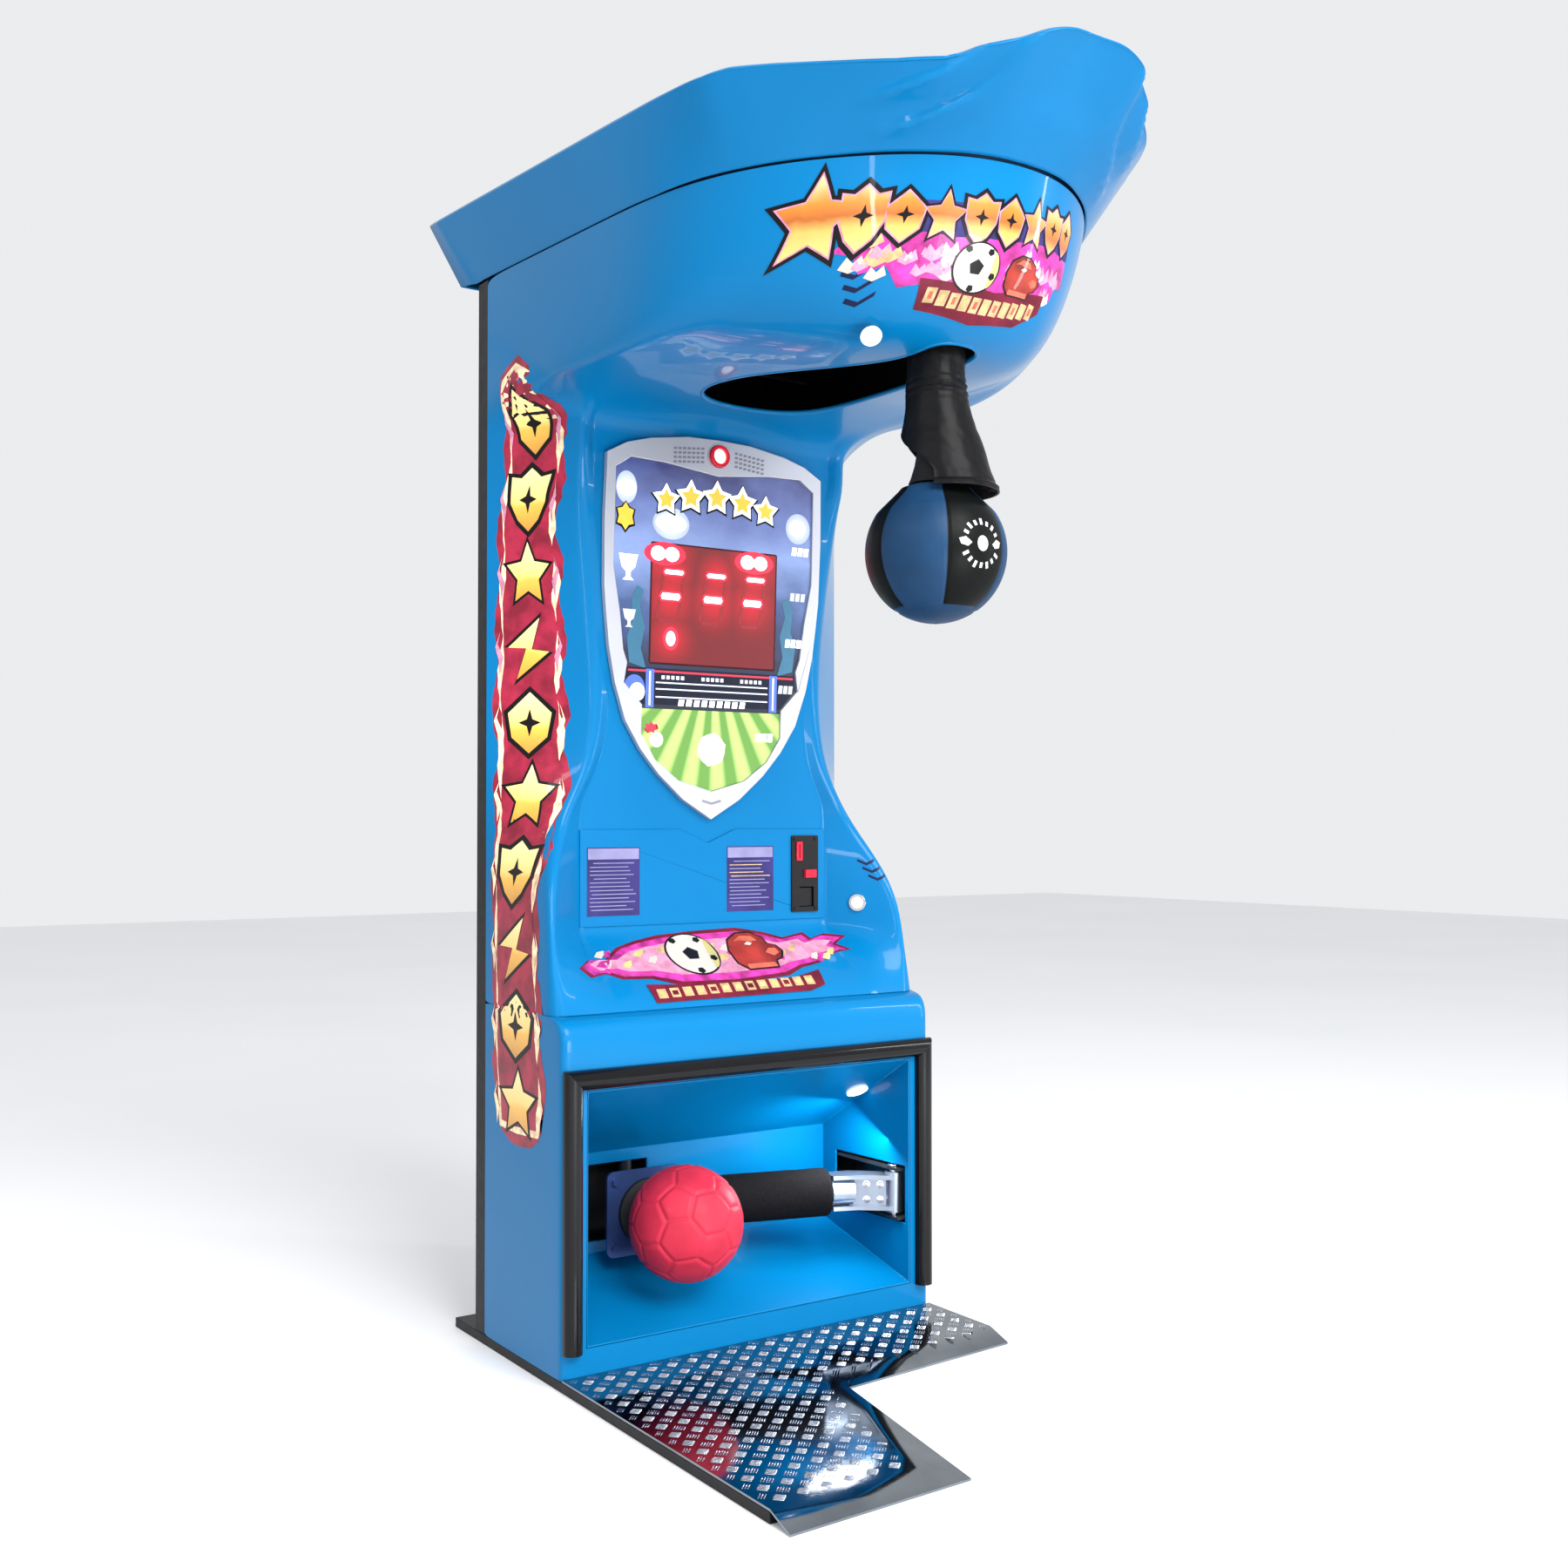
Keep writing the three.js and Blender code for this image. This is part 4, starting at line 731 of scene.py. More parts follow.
# the rest of the CAD parts keep their shapes
POLISHED = {
    "base_board": (BOARD, 1.5), "roof_board": (BOARD, 1.0), "rear_frame": (BOARD, 1.2), "rear_door": (BOARD,
                                                                                                      1.2),
    "shelf_board": (BOARD, 1.0), "canopy_seal": (SEAL, 0.3), "door_hinge": (STEEL, 0.5),
    "lock_barrel": (CHROME, 0.6), "lock_cam": (STEEL, 0.6), "power_inlet": (PLASTIC, 0.6),
    "bumper_left": (BUMPER, 1.2), "bumper_right": (BUMPER, 1.2), "bumper_top": (BUMPER, 1.2),
    "shield_frame": (SILVER, 2.2), "display_board": (CIRCUIT, 0.4), "lamp_ring": (RED_PLASTIC, 1.2),
    "lamp_lens": (LAMP_WARM, 0.8), "coin_panel": (BLUE, 0.7), "coin_plate": (PLASTIC, 0.7),
    "coin_bezel": (RED_PLASTIC, 0.6), "reject_button": (RED_PLASTIC, 0.8), "return_flap": (PLASTIC, 0.5),
    "coin_mech": (PLASTIC, 0.5), "start_box_bezel": (CHROME, 0.7), "start_box_button": (LAMP_WHITE, 0.8),
    "start_kick_bezel": (CHROME, 0.7), "start_kick_button": (LAMP_WHITE, 0.8), "recess_lamp": (LAMP_WHITE,
                                                                                               0.6),
    "kick_tray": (BLUE, 1.6), "kick_disc": (RUBBER, 1.0), "kick_end_plate": (END_PLATE,
                                                                             1.0), "kick_tube": (STEEL,
                                                                                                 0.6),
    "kick_hinge": (STEEL, 0.8), "kick_bracket": (DARK_STEEL, 0.9), "kick_pin": (CHROME, 0.7),
    "kick_pocket": (PLASTIC, 0.5), "kick_latch": (DARK_STEEL, 0.6), "kick_latch_plunger": (CHROME, 0.4),
    "punch_frame": (DARK_STEEL, 1.0), "bearing_left": (IRON, 1.5), "bearing_right": (IRON, 1.5),
    "punch_shaft": (CHROME, 0.6), "punch_hub": (STEEL, 1.0), "punch_tube": (STEEL, 0.6),
    "punch_latch": (DARK_STEEL, 0.6), "punch_latch_plunger": (CHROME, 0.5), "punch_collar": (RUBBER, 1.2),
    "cash_box": (STEEL, 0.6), "power_supply": (STEEL, 0.8), "main_board": (CIRCUIT, 0.4),
    "display_window": (DARK_GLASS, 0.6), "tread_plate": (TREAD, 0.8), "shield_panel": (BLUE, 0.3),
}
for cad_name, (cad_mat, cad_bevel) in POLISHED.items():
    polish(cad_name, cad_mat, cad_bevel)


# ---------- tread plate relief ----------
def tread_bars():
    """Five-bar relief: short raised bars in groups that turn by a right angle from one group to the next."""
    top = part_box("tread_plate")[1].z / MM
    inside_edge = [(-391, -7), (-391, -618), (-152, -617), (-46, -277), (-16, -222), (391, -187), (391, -7)]

    def within(x, y):
        found = False
        n = len(inside_edge)
        for k in range(n):
            (x0, y0), (x1, y1) = inside_edge[k], inside_edge[(k + 1) % n]
            if (y0 > y) != (y1 > y) and x < x0 + (y - y0) / (y1 - y0) * (x1 - x0):
                found = not found
        return found

    points, faces = [], []

    def bar(cx, cy, angle, length, width):
        c, s = math.cos(angle), math.sin(angle)
        start = len(points)
        around = 10
        for shrink, height in ((1.0, -0.1), (0.86, 0.6), (0.62, 0.85)):
            for k in range(around):
                turn = 2 * math.pi * k / around
                u = math.cos(turn) * length / 2 * (1 - (1 - shrink) * 0.5)
                v = math.sin(turn) * width / 2 * shrink
                points.append((cx + u * c - v * s, cy + u * s + v * c, top + height))
        for level in range(2):
            for k in range(around):
                a = start + level * around + k
                b = start + level * around + (k + 1) % around
                faces.append((a, b, b + around, a + around))
        faces.append(tuple(start + 2 * around + k for k in range(around)))

    pitch, bars, spread = 28.9, 5, 4.1
    diagonal, plate_middle = 0.7071, -320
    for i in range(-22, 23):
        for j in range(-30, 31):
            cx = (i + j) * pitch * diagonal
            cy = (i - j) * pitch * diagonal + plate_middle
            turn = math.pi / 4 if (i + j) % 2 else -math.pi / 4
            for k in range(bars):
                off = (k - (bars - 1) / 2) * spread
                x, y = cx - math.sin(turn) * off, cy + math.cos(turn) * off
                if within(x, y):
                    bar(x, y, turn, 19 - abs(off) * 0.2, 2.5)
    made = build("tread_relief", points, faces, [TREAD_BAR])
    return finish_piece(made, "cabinet", "tread_aluminium")


tread_bars()

# ---------- kick ball ----------
GOLDEN = (1 + math.sqrt(5)) / 2
# distance of the flat panels from the centre of a ball whose seams have length one
SMALL_PANEL_AT, LARGE_PANEL_AT = 2.32744, 2.26728


def ball_centres():
    """Directions of the twelve small and twenty large panels of a football."""
    small = []
    for a in (-1, 1):
        for b in (-GOLDEN, GOLDEN):
            small += [Vector((0, a, b)), Vector((a, b, 0)), Vector((b, 0, a))]
    small = [p.normalized() for p in small]
    large = []
    for i, p in enumerate(small):
        for j in range(i + 1, 12):
            for k in range(j + 1, 12):
                q, r = small[j], small[k]
                if p.dot(q) > 0.4 and p.dot(r) > 0.4 and q.dot(r) > 0.4:
                    large.append((p + q + r).normalized())
    return small, large


RED_SKIN = material("ball_red_skin", (0.44, 0.020, 0.046), 0.5, vary=0.10, vary_scale=20, bump=0.35,
                    bump_scale=900,
                    bump_size=0.0003, coat=0.05)


def kick_ball():
    """Football with grooves between its panels."""
    low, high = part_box("kick_ball")
    radius = (high.z - low.z) / 2
    centre = Vector(((low.x + high.x) / 2, low.y + radius, (low.z + high.z) / 2))
    made_mesh = bmesh.new()
    bmesh.ops.create_icosphere(made_mesh, subdivisions=7, radius=1)
    small, large = ball_centres()
    tilt = Matrix.Rotation(0.42, 3, "X") @ Matrix.Rotation(0.55, 3, "Z") @ Matrix.Rotation(0.3, 3, "Y")
    panels = [(tilt @ p, 1 / SMALL_PANEL_AT) for p in small] + [(tilt @ p, 1 / LARGE_PANEL_AT) for p in large]
    for vert in made_mesh.verts:
        p = vert.co.normalized()
        values = sorted(((p.dot(c) * w) for c, w in panels), reverse=True)[:2]
        gap = (values[0] - values[1]) / 0.43
        groove = math.exp(-(gap / 0.022) ** 2)
        shoulder = math.exp(-((gap - 0.05) / 0.035) ** 2)
        vert.co = centre + p * (radius * (0.992 - 0.017 * groove + 0.005 * shoulder))
    mesh = bpy.data.meshes.new("kick_ball_skin")
    made_mesh.to_mesh(mesh)
    made_mesh.free()
    mesh.materials.append(RED_SKIN)
    for face in mesh.polygons:
        face.use_smooth = True
    made = link_mesh("kick_ball_skin", mesh)
    finish_piece(made, "kick_arm", "ball_red", "kick_ball")


kick_ball()


# ---------- kick pad ----------
ARM_RIGHT, ARM_LEFT = Vector((262, 112, 237)), Vector((-150, 233, 237))


def on_arm(x):
    """Point on the middle line of the kick arm."""
    share = (x - ARM_RIGHT.x) / (ARM_LEFT.x - ARM_RIGHT.x)
    return ARM_RIGHT.lerp(ARM_LEFT, share)


def kick_pad():
    """Foam tube round the kick arm."""
    start, end = on_arm(238), on_arm(-34)
    axis = (end - start).normalized()
    length = (end - start).length
    side = Vector((0, 0, 1))
    across = axis.cross(side)
    stations = [(0, 21.5), (0, 30), (0, 41), (1.2, 44.5), (4, 46.4), (9, 47)]
    stations += [(length * k / 24, 47) for k in range(2, 23)]
    stations += [(length - 9, 47), (length - 4, 46.4), (length - 1.2, 44.5), (length, 41), (length, 30),
                 (length, 21.5), (length - 2, 20.5), (2, 20.5)]
    segments = 64
    points = []
    for s, r in stations:
        for k in range(segments):
            turn = 2 * math.pi * k / segments
            p = start + axis * s + (side * math.sin(turn) + across * math.cos(turn)) * r
            if r > 40:
                rough = noise.noise(p * 0.05) * 0.5 + noise.noise(p * 0.4) * 0.25
                p += (side * math.sin(turn) + across * math.cos(turn)) * (rough - 0.45)
            points.append(p)
    faces = grid_faces(len(stations), segments, loop=True)
    last = (len(stations) - 1) * segments
    faces += [(last + k, last + (k + 1) % segments, (k + 1) % segments, k) for k in range(segments)]
    made = build("kick_pad_foam", points, faces, [FOAM])
    fix_normals(made)
    finish_piece(made, "kick_arm", "black_foam", "kick_pad")


def fix_normals(made):
    """Welds points that meet and turns all faces outwards."""
    repair = bmesh.new()
    repair.from_mesh(made.data)
    bmesh.ops.remove_doubles(repair, verts=repair.verts, dist=1e-6)
    bmesh.ops.recalc_face_normals(repair, faces=repair.faces)
    repair.to_mesh(made.data)
    repair.free()
    for face in made.data.polygons:
        face.use_smooth = True


kick_pad()

# ---------- punch ball ----------
PUNCH_Y, BALL_Z, BALL_R = -507, 1392, 113.4
BALL_BLUE = material("ball_blue", (0.008, 0.034, 0.084), 0.42, vary=0.14, vary_scale=12, bump=0.3,
                     bump_scale=620,
                     bump_size=0.0003, specular=0.10)
BALL_BLACK = material("ball_black", (0.002, 0.0025, 0.0025), 0.42, vary=0.2, vary_scale=12, bump=0.3,
                      bump_scale=620, bump_size=0.0003, specular=0.08)
PRINT_WHITE = material("print_white", (0.42, 0.43, 0.43), 0.5, vary=0.05)
GORES, CAP_ANGLE = 6, 0.60
GORE_STEP = 2 * math.pi / GORES
BALL_ROWS, BALL_SWEEP = 44, 2.15


def ball_profile():
    """Radius and height from the foot of the ball up to the seat of the arm."""
    profile = [(0.01, BALL_Z - BALL_R)]
    for k in range(1, BALL_ROWS + 1):
        angle = -math.pi / 2 + k / BALL_ROWS * BALL_SWEEP
        profile.append((BALL_R * math.cos(angle), BALL_Z + BALL_R * math.sin(angle)))
    r0, z0 = profile[-1]
    for k in range(1, 9):
        share = k / 8
        profile.append((r0 + (62 - r0) * share, z0 + (1487 - z0) * share))
    profile += [(56, 1493), (44, 1497), (30, 1499.5), (18, 1499.5)]
    return profile


def gore_edge(angle):
    """Angle to the nearest seam between gores; the front gore is centred on the player's side."""
    part = (angle + math.pi / 2 + GORE_STEP / 2) % GORE_STEP
    return min(part, GORE_STEP - part)


def punch_ball():
    """Ball of six gores in two colours, with a plain cap below and a seam between all of them."""
    profile = ball_profile()
    cap_row = CAP_ANGLE / (BALL_SWEEP / BALL_ROWS)

    def shape(angle, k, r, z):
        distance = gore_edge(angle) * max(r, 1)
        seam = math.exp(-(distance / 1.7) ** 2) if k >= cap_row else 0
        seam = max(seam, math.exp(-((k - cap_row) / 0.45) ** 2))
        puff = 1.2 * (1 - math.exp(-(distance / 16) ** 2)) if k > cap_row else 0.8
        inset = -2.0 - 1.9 * seam + puff
        if k > BALL_ROWS + 8 or k == 0:
            inset = 0
        height_angle = -math.pi / 2 + k / BALL_ROWS * BALL_SWEEP
        outward, upward = (math.cos(height_angle), math.sin(height_angle)) if k <= BALL_ROWS else (0.8, 0.2)
        return max(0.01, r + inset * max(0.1, outward)), z + inset * upward

    def skin(angle, row):
        gore = int((angle + math.pi / 2 + GORE_STEP / 2) % (2 * math.pi) / GORE_STEP)
        return 1 if row >= cap_row and gore % 2 == 0 else 0

    made = lathe("punch_ball_skin", profile, (0, PUNCH_Y), [BALL_BLUE, BALL_BLACK], segments=180, shape=shape,
                 face_mat=skin)
    finish_piece(made, "punch_arm", "ball_vinyl", "punch_ball")
    return made


PUNCH_BALL = punch_ball()


def tessellate(polygon, longest):
    """Flat polygon in its own plane, cut up finely enough to be laid on a curved surface."""
    work = bmesh.new()
    verts = [work.verts.new((x, y, 0)) for x, y in polygon]
    work.faces.new(verts)
    bmesh.ops.triangulate(work, faces=work.faces)
    for _ in range(12):
        long_edges = [e for e in work.edges if e.calc_length() > longest]
        if not long_edges:
            break
        bmesh.ops.subdivide_edges(work, edges=long_edges, cuts=1)
        bmesh.ops.triangulate(work, faces=[f for f in work.faces if len(f.verts) > 3])
    work.verts.index_update()
    points = [(v.co.x, v.co.y) for v in work.verts]
    faces = [tuple(v.index for v in f.verts) for f in work.faces]
    work.free()
    return points, faces


class Transfer:
    """Printed artwork: layers of flat shapes laid on a surface, one mesh with several inks."""

    def __init__(self, name, lay, longest=12):
        self.name, self.lay, self.longest = name, lay, longest
        self.points, self.faces, self.picks, self.inks = [], [], [], []

    def add(self, polygon, ink, layer=0):
        if ink not in self.inks:
            self.inks.append(ink)
        area = sum(a[0] * b[1] - b[0] * a[1] for a, b in zip(polygon, polygon[1:] + polygon[:1]))
        if area < 0:
            polygon = polygon[::-1]
        flat, faces = tessellate(polygon, self.longest)
        placed = [self.lay(x, y, 0.35 + 0.22 * layer) for x, y in flat]
        start = len(self.points)
        for face in faces:
            if all(placed[k] is not None for k in face):
                self.faces.append(tuple(start + k for k in face))
                self.picks.append(self.inks.index(ink))
        self.points += [p if p is not None else Vector((0, 0, 0)) for p in placed]

    def finish(self, body, slot, flip=False):
        made = build(self.name, self.points, [f[::-1] for f in self.faces] if flip else self.faces, self.inks,
                     smooth=True, face_mats=self.picks)
        work = bmesh.new()
        work.from_mesh(made.data)
        bmesh.ops.delete(work, geom=[v for v in work.verts if not v.link_faces], context="VERTS")
        work.to_mesh(made.data)
        work.free()
        return finish_piece(made, body, slot)


def surface_lay(tree, origin, direction):
    """Lays a flat point on a surface along a direction; origin turns the point into a start in space."""
    way = Vector(direction).normalized()

    def lay(x, y, lift):
        hit = tree.ray_cast(Vector(origin(x, y)) * MM, way)
        if hit[0] is None:
            return None
        normal = hit[1] if hit[1].dot(way) < 0 else -hit[1]
        return hit[0] / MM + normal * lift

    return lay


def ball_print():
    """White target on the front gore: a dot, a ring of dashes and two arrow heads."""
    lay = surface_lay(shell_surface(PUNCH_BALL), lambda x, y: (x, -900, BALL_Z + y), (0, 1, 0))
    art = Transfer("ball_print", lay, 5)
    art.add(ring_points(0, 0, 10.5, 12), PRINT_WHITE)
    for k in range(14):
        turn = math.pi * (0.16 + 0.68 * (k % 7) / 6) + (math.pi if k > 6 else 0)
        c, s = math.cos(turn), math.sin(turn)
        tall = 10 if k % 2 else 8
        corners = [(-2.6, 0), (2.6, 0), (2.6, tall), (-2.6, tall)]
        art.add([(c * (29 + v) - s * u, s * (29 + v) + c * u) for u, v in corners], PRINT_WHITE)
    for side in (-1, 1):
        art.add([(side * 20, 0), (side * 31, 9), (side * 29, 2.5), (side * 41, 6), (side * 38, -3),
                 (side * 27, -6)],
                PRINT_WHITE)
    art.finish("punch_arm", "ball_vinyl")


ball_print()


# ---------- sleeve ----------
SLEEVE_RIGHT = [(1480, 104), (1514, 90), (1552, 78), (1586, 65), (1627, 53), (1683, 46), (1722, 47)]


def punch_sleeve():
    """Vinyl sleeve round the arm: creased near the top, open at the back low down, flared over the ball."""
    top, bottom, rows, columns = 1722, 1487, 70, 96
    crease_height, wall = 1652, 3.4
    middle = math.radians(-50)
    outer, inner = [], []
    for k in range(rows + 1):
        share = k / rows
        z = top + (bottom - top) * share
        reach = math.radians(179 - 97 * ease((share - 0.50) / 0.42))
        for s in range(columns + 1):
            angle = middle + reach * (2 * s / columns - 1)
            toward = 0.5 + 0.5 * math.cos(angle - math.radians(-32))
            full = lookup(SLEEVE_RIGHT, z)
            r = 45 + (full - 45) * (0.40 + 0.60 * toward ** 1.6)
            crease = math.exp(-((z - crease_height) / 17) ** 2) * (0.35 + 0.65 * toward)
            r += 2.3 * crease * math.sin((z - crease_height) * 0.52 + 0.9 * math.cos(angle * 1.5))
            spot = Vector((math.cos(angle) * 1.5, math.sin(angle) * 1.5, z * 0.022))
            r += 1.5 * noise.noise(spot) + 0.6 * noise.noise(spot * 4)
            r += 2.6 * math.exp(-((share - 0.975) / 0.010) ** 2)
            r -= 1.6 * math.exp(-((share - 0.948) / 0.008) ** 2)
            edge = 1 - abs(2 * s / columns - 1)
            r += 1.2 * math.exp(-(edge / 0.03) ** 2)
            c, si = math.cos(angle), math.sin(angle)
            outer.append((r * c, PUNCH_Y + r * si, z))
            inner.append(((r - wall) * c, PUNCH_Y + (r - wall) * si, z))
    wide = columns + 1
    faces = grid_faces(rows + 1, wide)
    n = len(outer)
    back = [tuple(n + i for i in f[::-1]) for f in faces]
    border = [(0, s) for s in range(wide)] + [(k, columns) for k in range(1, rows + 1)]
    border += [(rows, s) for s in range(columns - 1, -1, -1)] + [(k, 0) for k in range(rows - 1, 0, -1)]
    ids = [k * wide + s for k, s in border]
    rim = [(a, b, n + b, n + a) for a, b in zip(ids, ids[1:] + ids[:1])]
    made = build("punch_sleeve_vinyl", outer + inner, faces + back + rim, [VINYL])
    fix_normals(made)
    made.data.set_sharp_from_angle(angle=math.radians(50))
    finish_piece(made, "punch_arm", "black_vinyl", "punch_sleeve")


punch_sleeve()

# ---------- inks ----------
INK_BLACK = material("ink_black", (0.003, 0.002, 0.003), 0.35, coat=0.2)
INK_RED = material("ink_dark_red", (0.26, 0.012, 0.035), 0.35, vary=0.35, vary_scale=26, coat=0.5)
INK_CREAM = material("ink_cream", (0.86, 0.62, 0.40), 0.4, vary=0.3, vary_scale=60, coat=0.4)
INK_MAGENTA = material("ink_magenta", (0.40, 0.025, 0.22), 0.4, vary=0.45, vary_scale=40, coat=0.4)
INK_PINK = material("ink_pink", (0.50, 0.20, 0.30), 0.4, vary=0.25, vary_scale=50, coat=0.4)
INK_WHITE = material("ink_white", (0.46, 0.43, 0.38), 0.35, vary=0.06, coat=0.4)
INK_PURPLE = material("ink_purple", (0.024, 0.020, 0.11), 0.45, vary=0.25, vary_scale=12)
INK_LILAC = material("ink_lilac", (0.19, 0.18, 0.33), 0.45, vary=0.12, vary_scale=20)
INK_NAVY = material("ink_navy", (0.004, 0.008, 0.045), 0.4, vary=0.2)
GLOVE_RED = material("ink_glove", (0.24, 0.02, 0.012), 0.35, vary=0.5, vary_scale=16, coat=0.4)
GLOVE_LIGHT = material("ink_glove_light", (0.46, 0.10, 0.06), 0.35, vary=0.3, vary_scale=22, coat=0.4)
FRONT_CREAM = material("ink_front_cream", (0.44, 0.30, 0.15), 0.4, vary=0.25, vary_scale=60)
FRONT_RED = material("ink_front_red", (0.12, 0.006, 0.02), 0.35, vary=0.3, vary_scale=26)
YELLOW_WHITE = material("ink_yellow_white", (0.45, 0.40, 0.16), 0.35, vary=0.2, vary_scale=12, coat=0.4)


def banded(name, bands, axis="Z", period=None, low=0.0, high=1.0):
    """Printed colour that changes along one axis of space between two levels."""
    mat, tree, shader = blank(name)
    coords = object_coords(tree)
    split = node(tree, "ShaderNodeSeparateXYZ")
    tree.links.new(coords, split.inputs[0])
    span = node(tree, "ShaderNodeMapRange")
    span.inputs["From Min"].default_value = low
    span.inputs["From Max"].default_value = high
    tree.links.new(split.outputs[axis], span.inputs["Value"])
    value = span.outputs[0]
    if period:
        value = math_node(tree, "FRACT", math_node(tree, "MULTIPLY", value, period))
    wobble = math_node(tree, "MULTIPLY", noise_fac(tree, 24, 3), 0.16)
    value = math_node(tree, "SUBTRACT", math_node(tree, "ADD", value, wobble), 0.08)
    tree.links.new(color_bands(tree, value, bands), shader.inputs["Base Color"])
    shader.inputs["Roughness"].default_value = 0.32
    shader.inputs["Coat Weight"].default_value = 0.5
    return mat


SIDE_PITCH, SIDE_SIGNS, SIDE_FOOT = 0.137, 10, 0.395
INK_GOLD = banded("ink_gold",
                  [(0.0, (0.42, 0.16, 0.015)), (0.42, (0.80, 0.42, 0.05)), (0.5, (0.86, 0.58, 0.16)),
                   (1.0, (0.95, 0.78, 0.40))],
                  low=SIDE_FOOT, high=SIDE_FOOT + SIDE_PITCH * SIDE_SIGNS, period=SIDE_SIGNS)
HEAD_GOLD = banded("head_gold",
                   [(0.0, (0.64, 0.48, 0.16)), (0.38, (0.60, 0.33, 0.07)), (0.52, (0.34, 0.085, 0.004)),
                    (0.68, (0.58, 0.17, 0.012)), (1.0, (0.66, 0.52, 0.25))],
                   low=1.80, high=1.915)


# ---------- artwork on the cabinet ----------
SIDE_CENTRE = [(388, 150), (414, 146), (510, 139), (670, 125), (874, 101), (1197, 82), (1520, 83), (1750, 95),
               (1800, 112)]
SIDE_WIDTH = [(392, 30), (414, 82), (510, 96), (670, 86), (874, 72), (1197, 60), (1520, 52), (1750, 44)]
SIDE_LOW, SIDE_HIGH = 392, 1790
TONGUE = [(1.15, -46), (1.02, -14), (1.24, 10), (1.12, 34), (1.34, 4), (1.2, -20)]
LOWER_SURFACE = shell_surface(bpy.data.objects["lower_shell_skin"])


def wall_point(run, z):
    """Point on the left side wall, a distance forward of the rear edge."""
    if z < LEDGE + 1 or z > NECK_TOP:
        return Vector((-HALF, REAR - run, z))
    path = neck_half(z)
    left = run
    for a, b in zip(path, path[1:]):
        length = (b - a).length
        if left <= length:
            p = a.lerp(b, left / length)
            return Vector((p.x, p.y, z))
        left -= length
    return Vector((path[-1].x, path[-1].y, z))


def side_lay(x, z, lift):
    """Point on the left wall, easing from the path round the corner to a straight look from the side."""
    tree = LOWER_SURFACE if z < 628 else SHELL_SURFACE
    near = tree.find_nearest(wall_point(x, z) * MM)[0]
    blend = soft_step(z - 1590, 25)
    if blend > 0.001:
        hit = tree.ray_cast(Vector((-700, REAR - x, z)) * MM, Vector((1, 0, 0)))[0]
        if hit is not None:
            near = near.lerp(hit, blend)
    near, normal, _, _ = tree.find_nearest(near)
    if normal.x > 0:
        normal = -normal
    return near / MM + normal * (lift + 1.2 * max(0, 1 - abs(z - 630) / 8))


def flame_edge(low, high, centre, width, ragged, seed, step=16):
    """Outline of a tall flame-edged band."""
    local = random.Random(seed)
    left, right = [], []
    z = low
    while z < high:
        push = ragged * (0.5 + 0.5 * math.sin(z * 0.047 + seed)) + ragged * 0.6 * local.random()
        right.append((centre(z) + width(z) + push, z))
        push = ragged * (0.5 + 0.5 * math.sin(z * 0.039 + seed * 2)) + ragged * 0.5 * local.random()
        left.append((centre(z) - width(z) - push * 0.7, z))
        z += step
    tip = [(centre(high) + 4, high + 22)]
    foot = [(centre(low) - 10, low - 4)]
    return foot + right + tip + left[::-1]


def side_artwork():
    """Flame-edged band of emblems up the left wall."""
    art = Transfer("side_artwork", side_lay, 22)
    centre = lambda z: lookup(SIDE_CENTRE, z)
    width = lambda z: lookup(SIDE_WIDTH, z)
    art.add(flame_edge(SIDE_LOW, SIDE_HIGH, centre, lambda z: width(z) * 0.98, 14, 3), INK_RED, 0)
    art.add(flame_edge(SIDE_LOW + 22, SIDE_HIGH - 14, centre, lambda z: width(z) * 0.86, 11, 5), INK_CREAM, 1)
    art.add(flame_edge(SIDE_LOW + 34, SIDE_HIGH - 26, centre, lambda z: width(z) * 0.80, 7, 9), INK_RED, 2)
    kinds = ["star", "gem", "bolt", "shield", "star", "gem", "bolt", "star", "shield", "gem"]
    for k, kind in enumerate(kinds):
        z = 395 + SIDE_PITCH * 1000 * (k + 0.5)
        w, h = width(z) * 0.84, 65
        x = centre(z)
        art.add(glyph(kind, x, z, w * 1.16, h * 1.1), INK_BLACK, 3)
        art.add(glyph(kind, x, z, w * 0.96, h * 0.92), INK_GOLD, 4)
        if kind in ("shield", "gem"):
            art.add(star(x, z, w * 0.42, h * 0.40, 4, 0.36), INK_BLACK, 5)
        for side in (-1, 1):
            tongue = [(x + side * w * across, z + rise) for across, rise in TONGUE]
            art.add(tongue, INK_CREAM if k < 6 else INK_PINK, 6)
    art.finish("cabinet", "blue_gloss")


def glyph(kind, x, y, w, h):
    """Plain emblem shapes that fill a tall cell."""
    if kind == "star":
        return star(x, y, w, h, 5, 0.5)
    if kind == "gem":
        return [(x, y + h * 0.95), (x + w * 0.85, y + h * 0.3), (x + w * 0.7, y - h * 0.45),
                (x, y - h * 0.95),
                (x - w * 0.7, y - h * 0.45), (x - w * 0.85, y + h * 0.3)]
    if kind == "shield":
        return [(x - w * 0.9, y + h * 0.72), (x - w * 0.45, y + h * 0.66), (x, y + h * 0.95),
                (x + w * 0.45, y + h * 0.66), (x + w * 0.9, y + h * 0.72), (x + w * 0.86, y - h * 0.1),
                (x + w * 0.5, y - h * 0.62), (x, y - h * 0.97),
                (x - w * 0.5, y - h * 0.62), (x - w * 0.86, y - h * 0.1)]
    return [(x + w * 0.45, y + h * 0.95), (x - w * 0.85, y + h * 0.05), (x - w * 0.1, y + h * 0.02),
            (x - w * 0.5, y - h * 0.95), (x + w * 0.85, y - h * 0.1), (x + w * 0.12, y - h * 0.02)]


side_artwork()


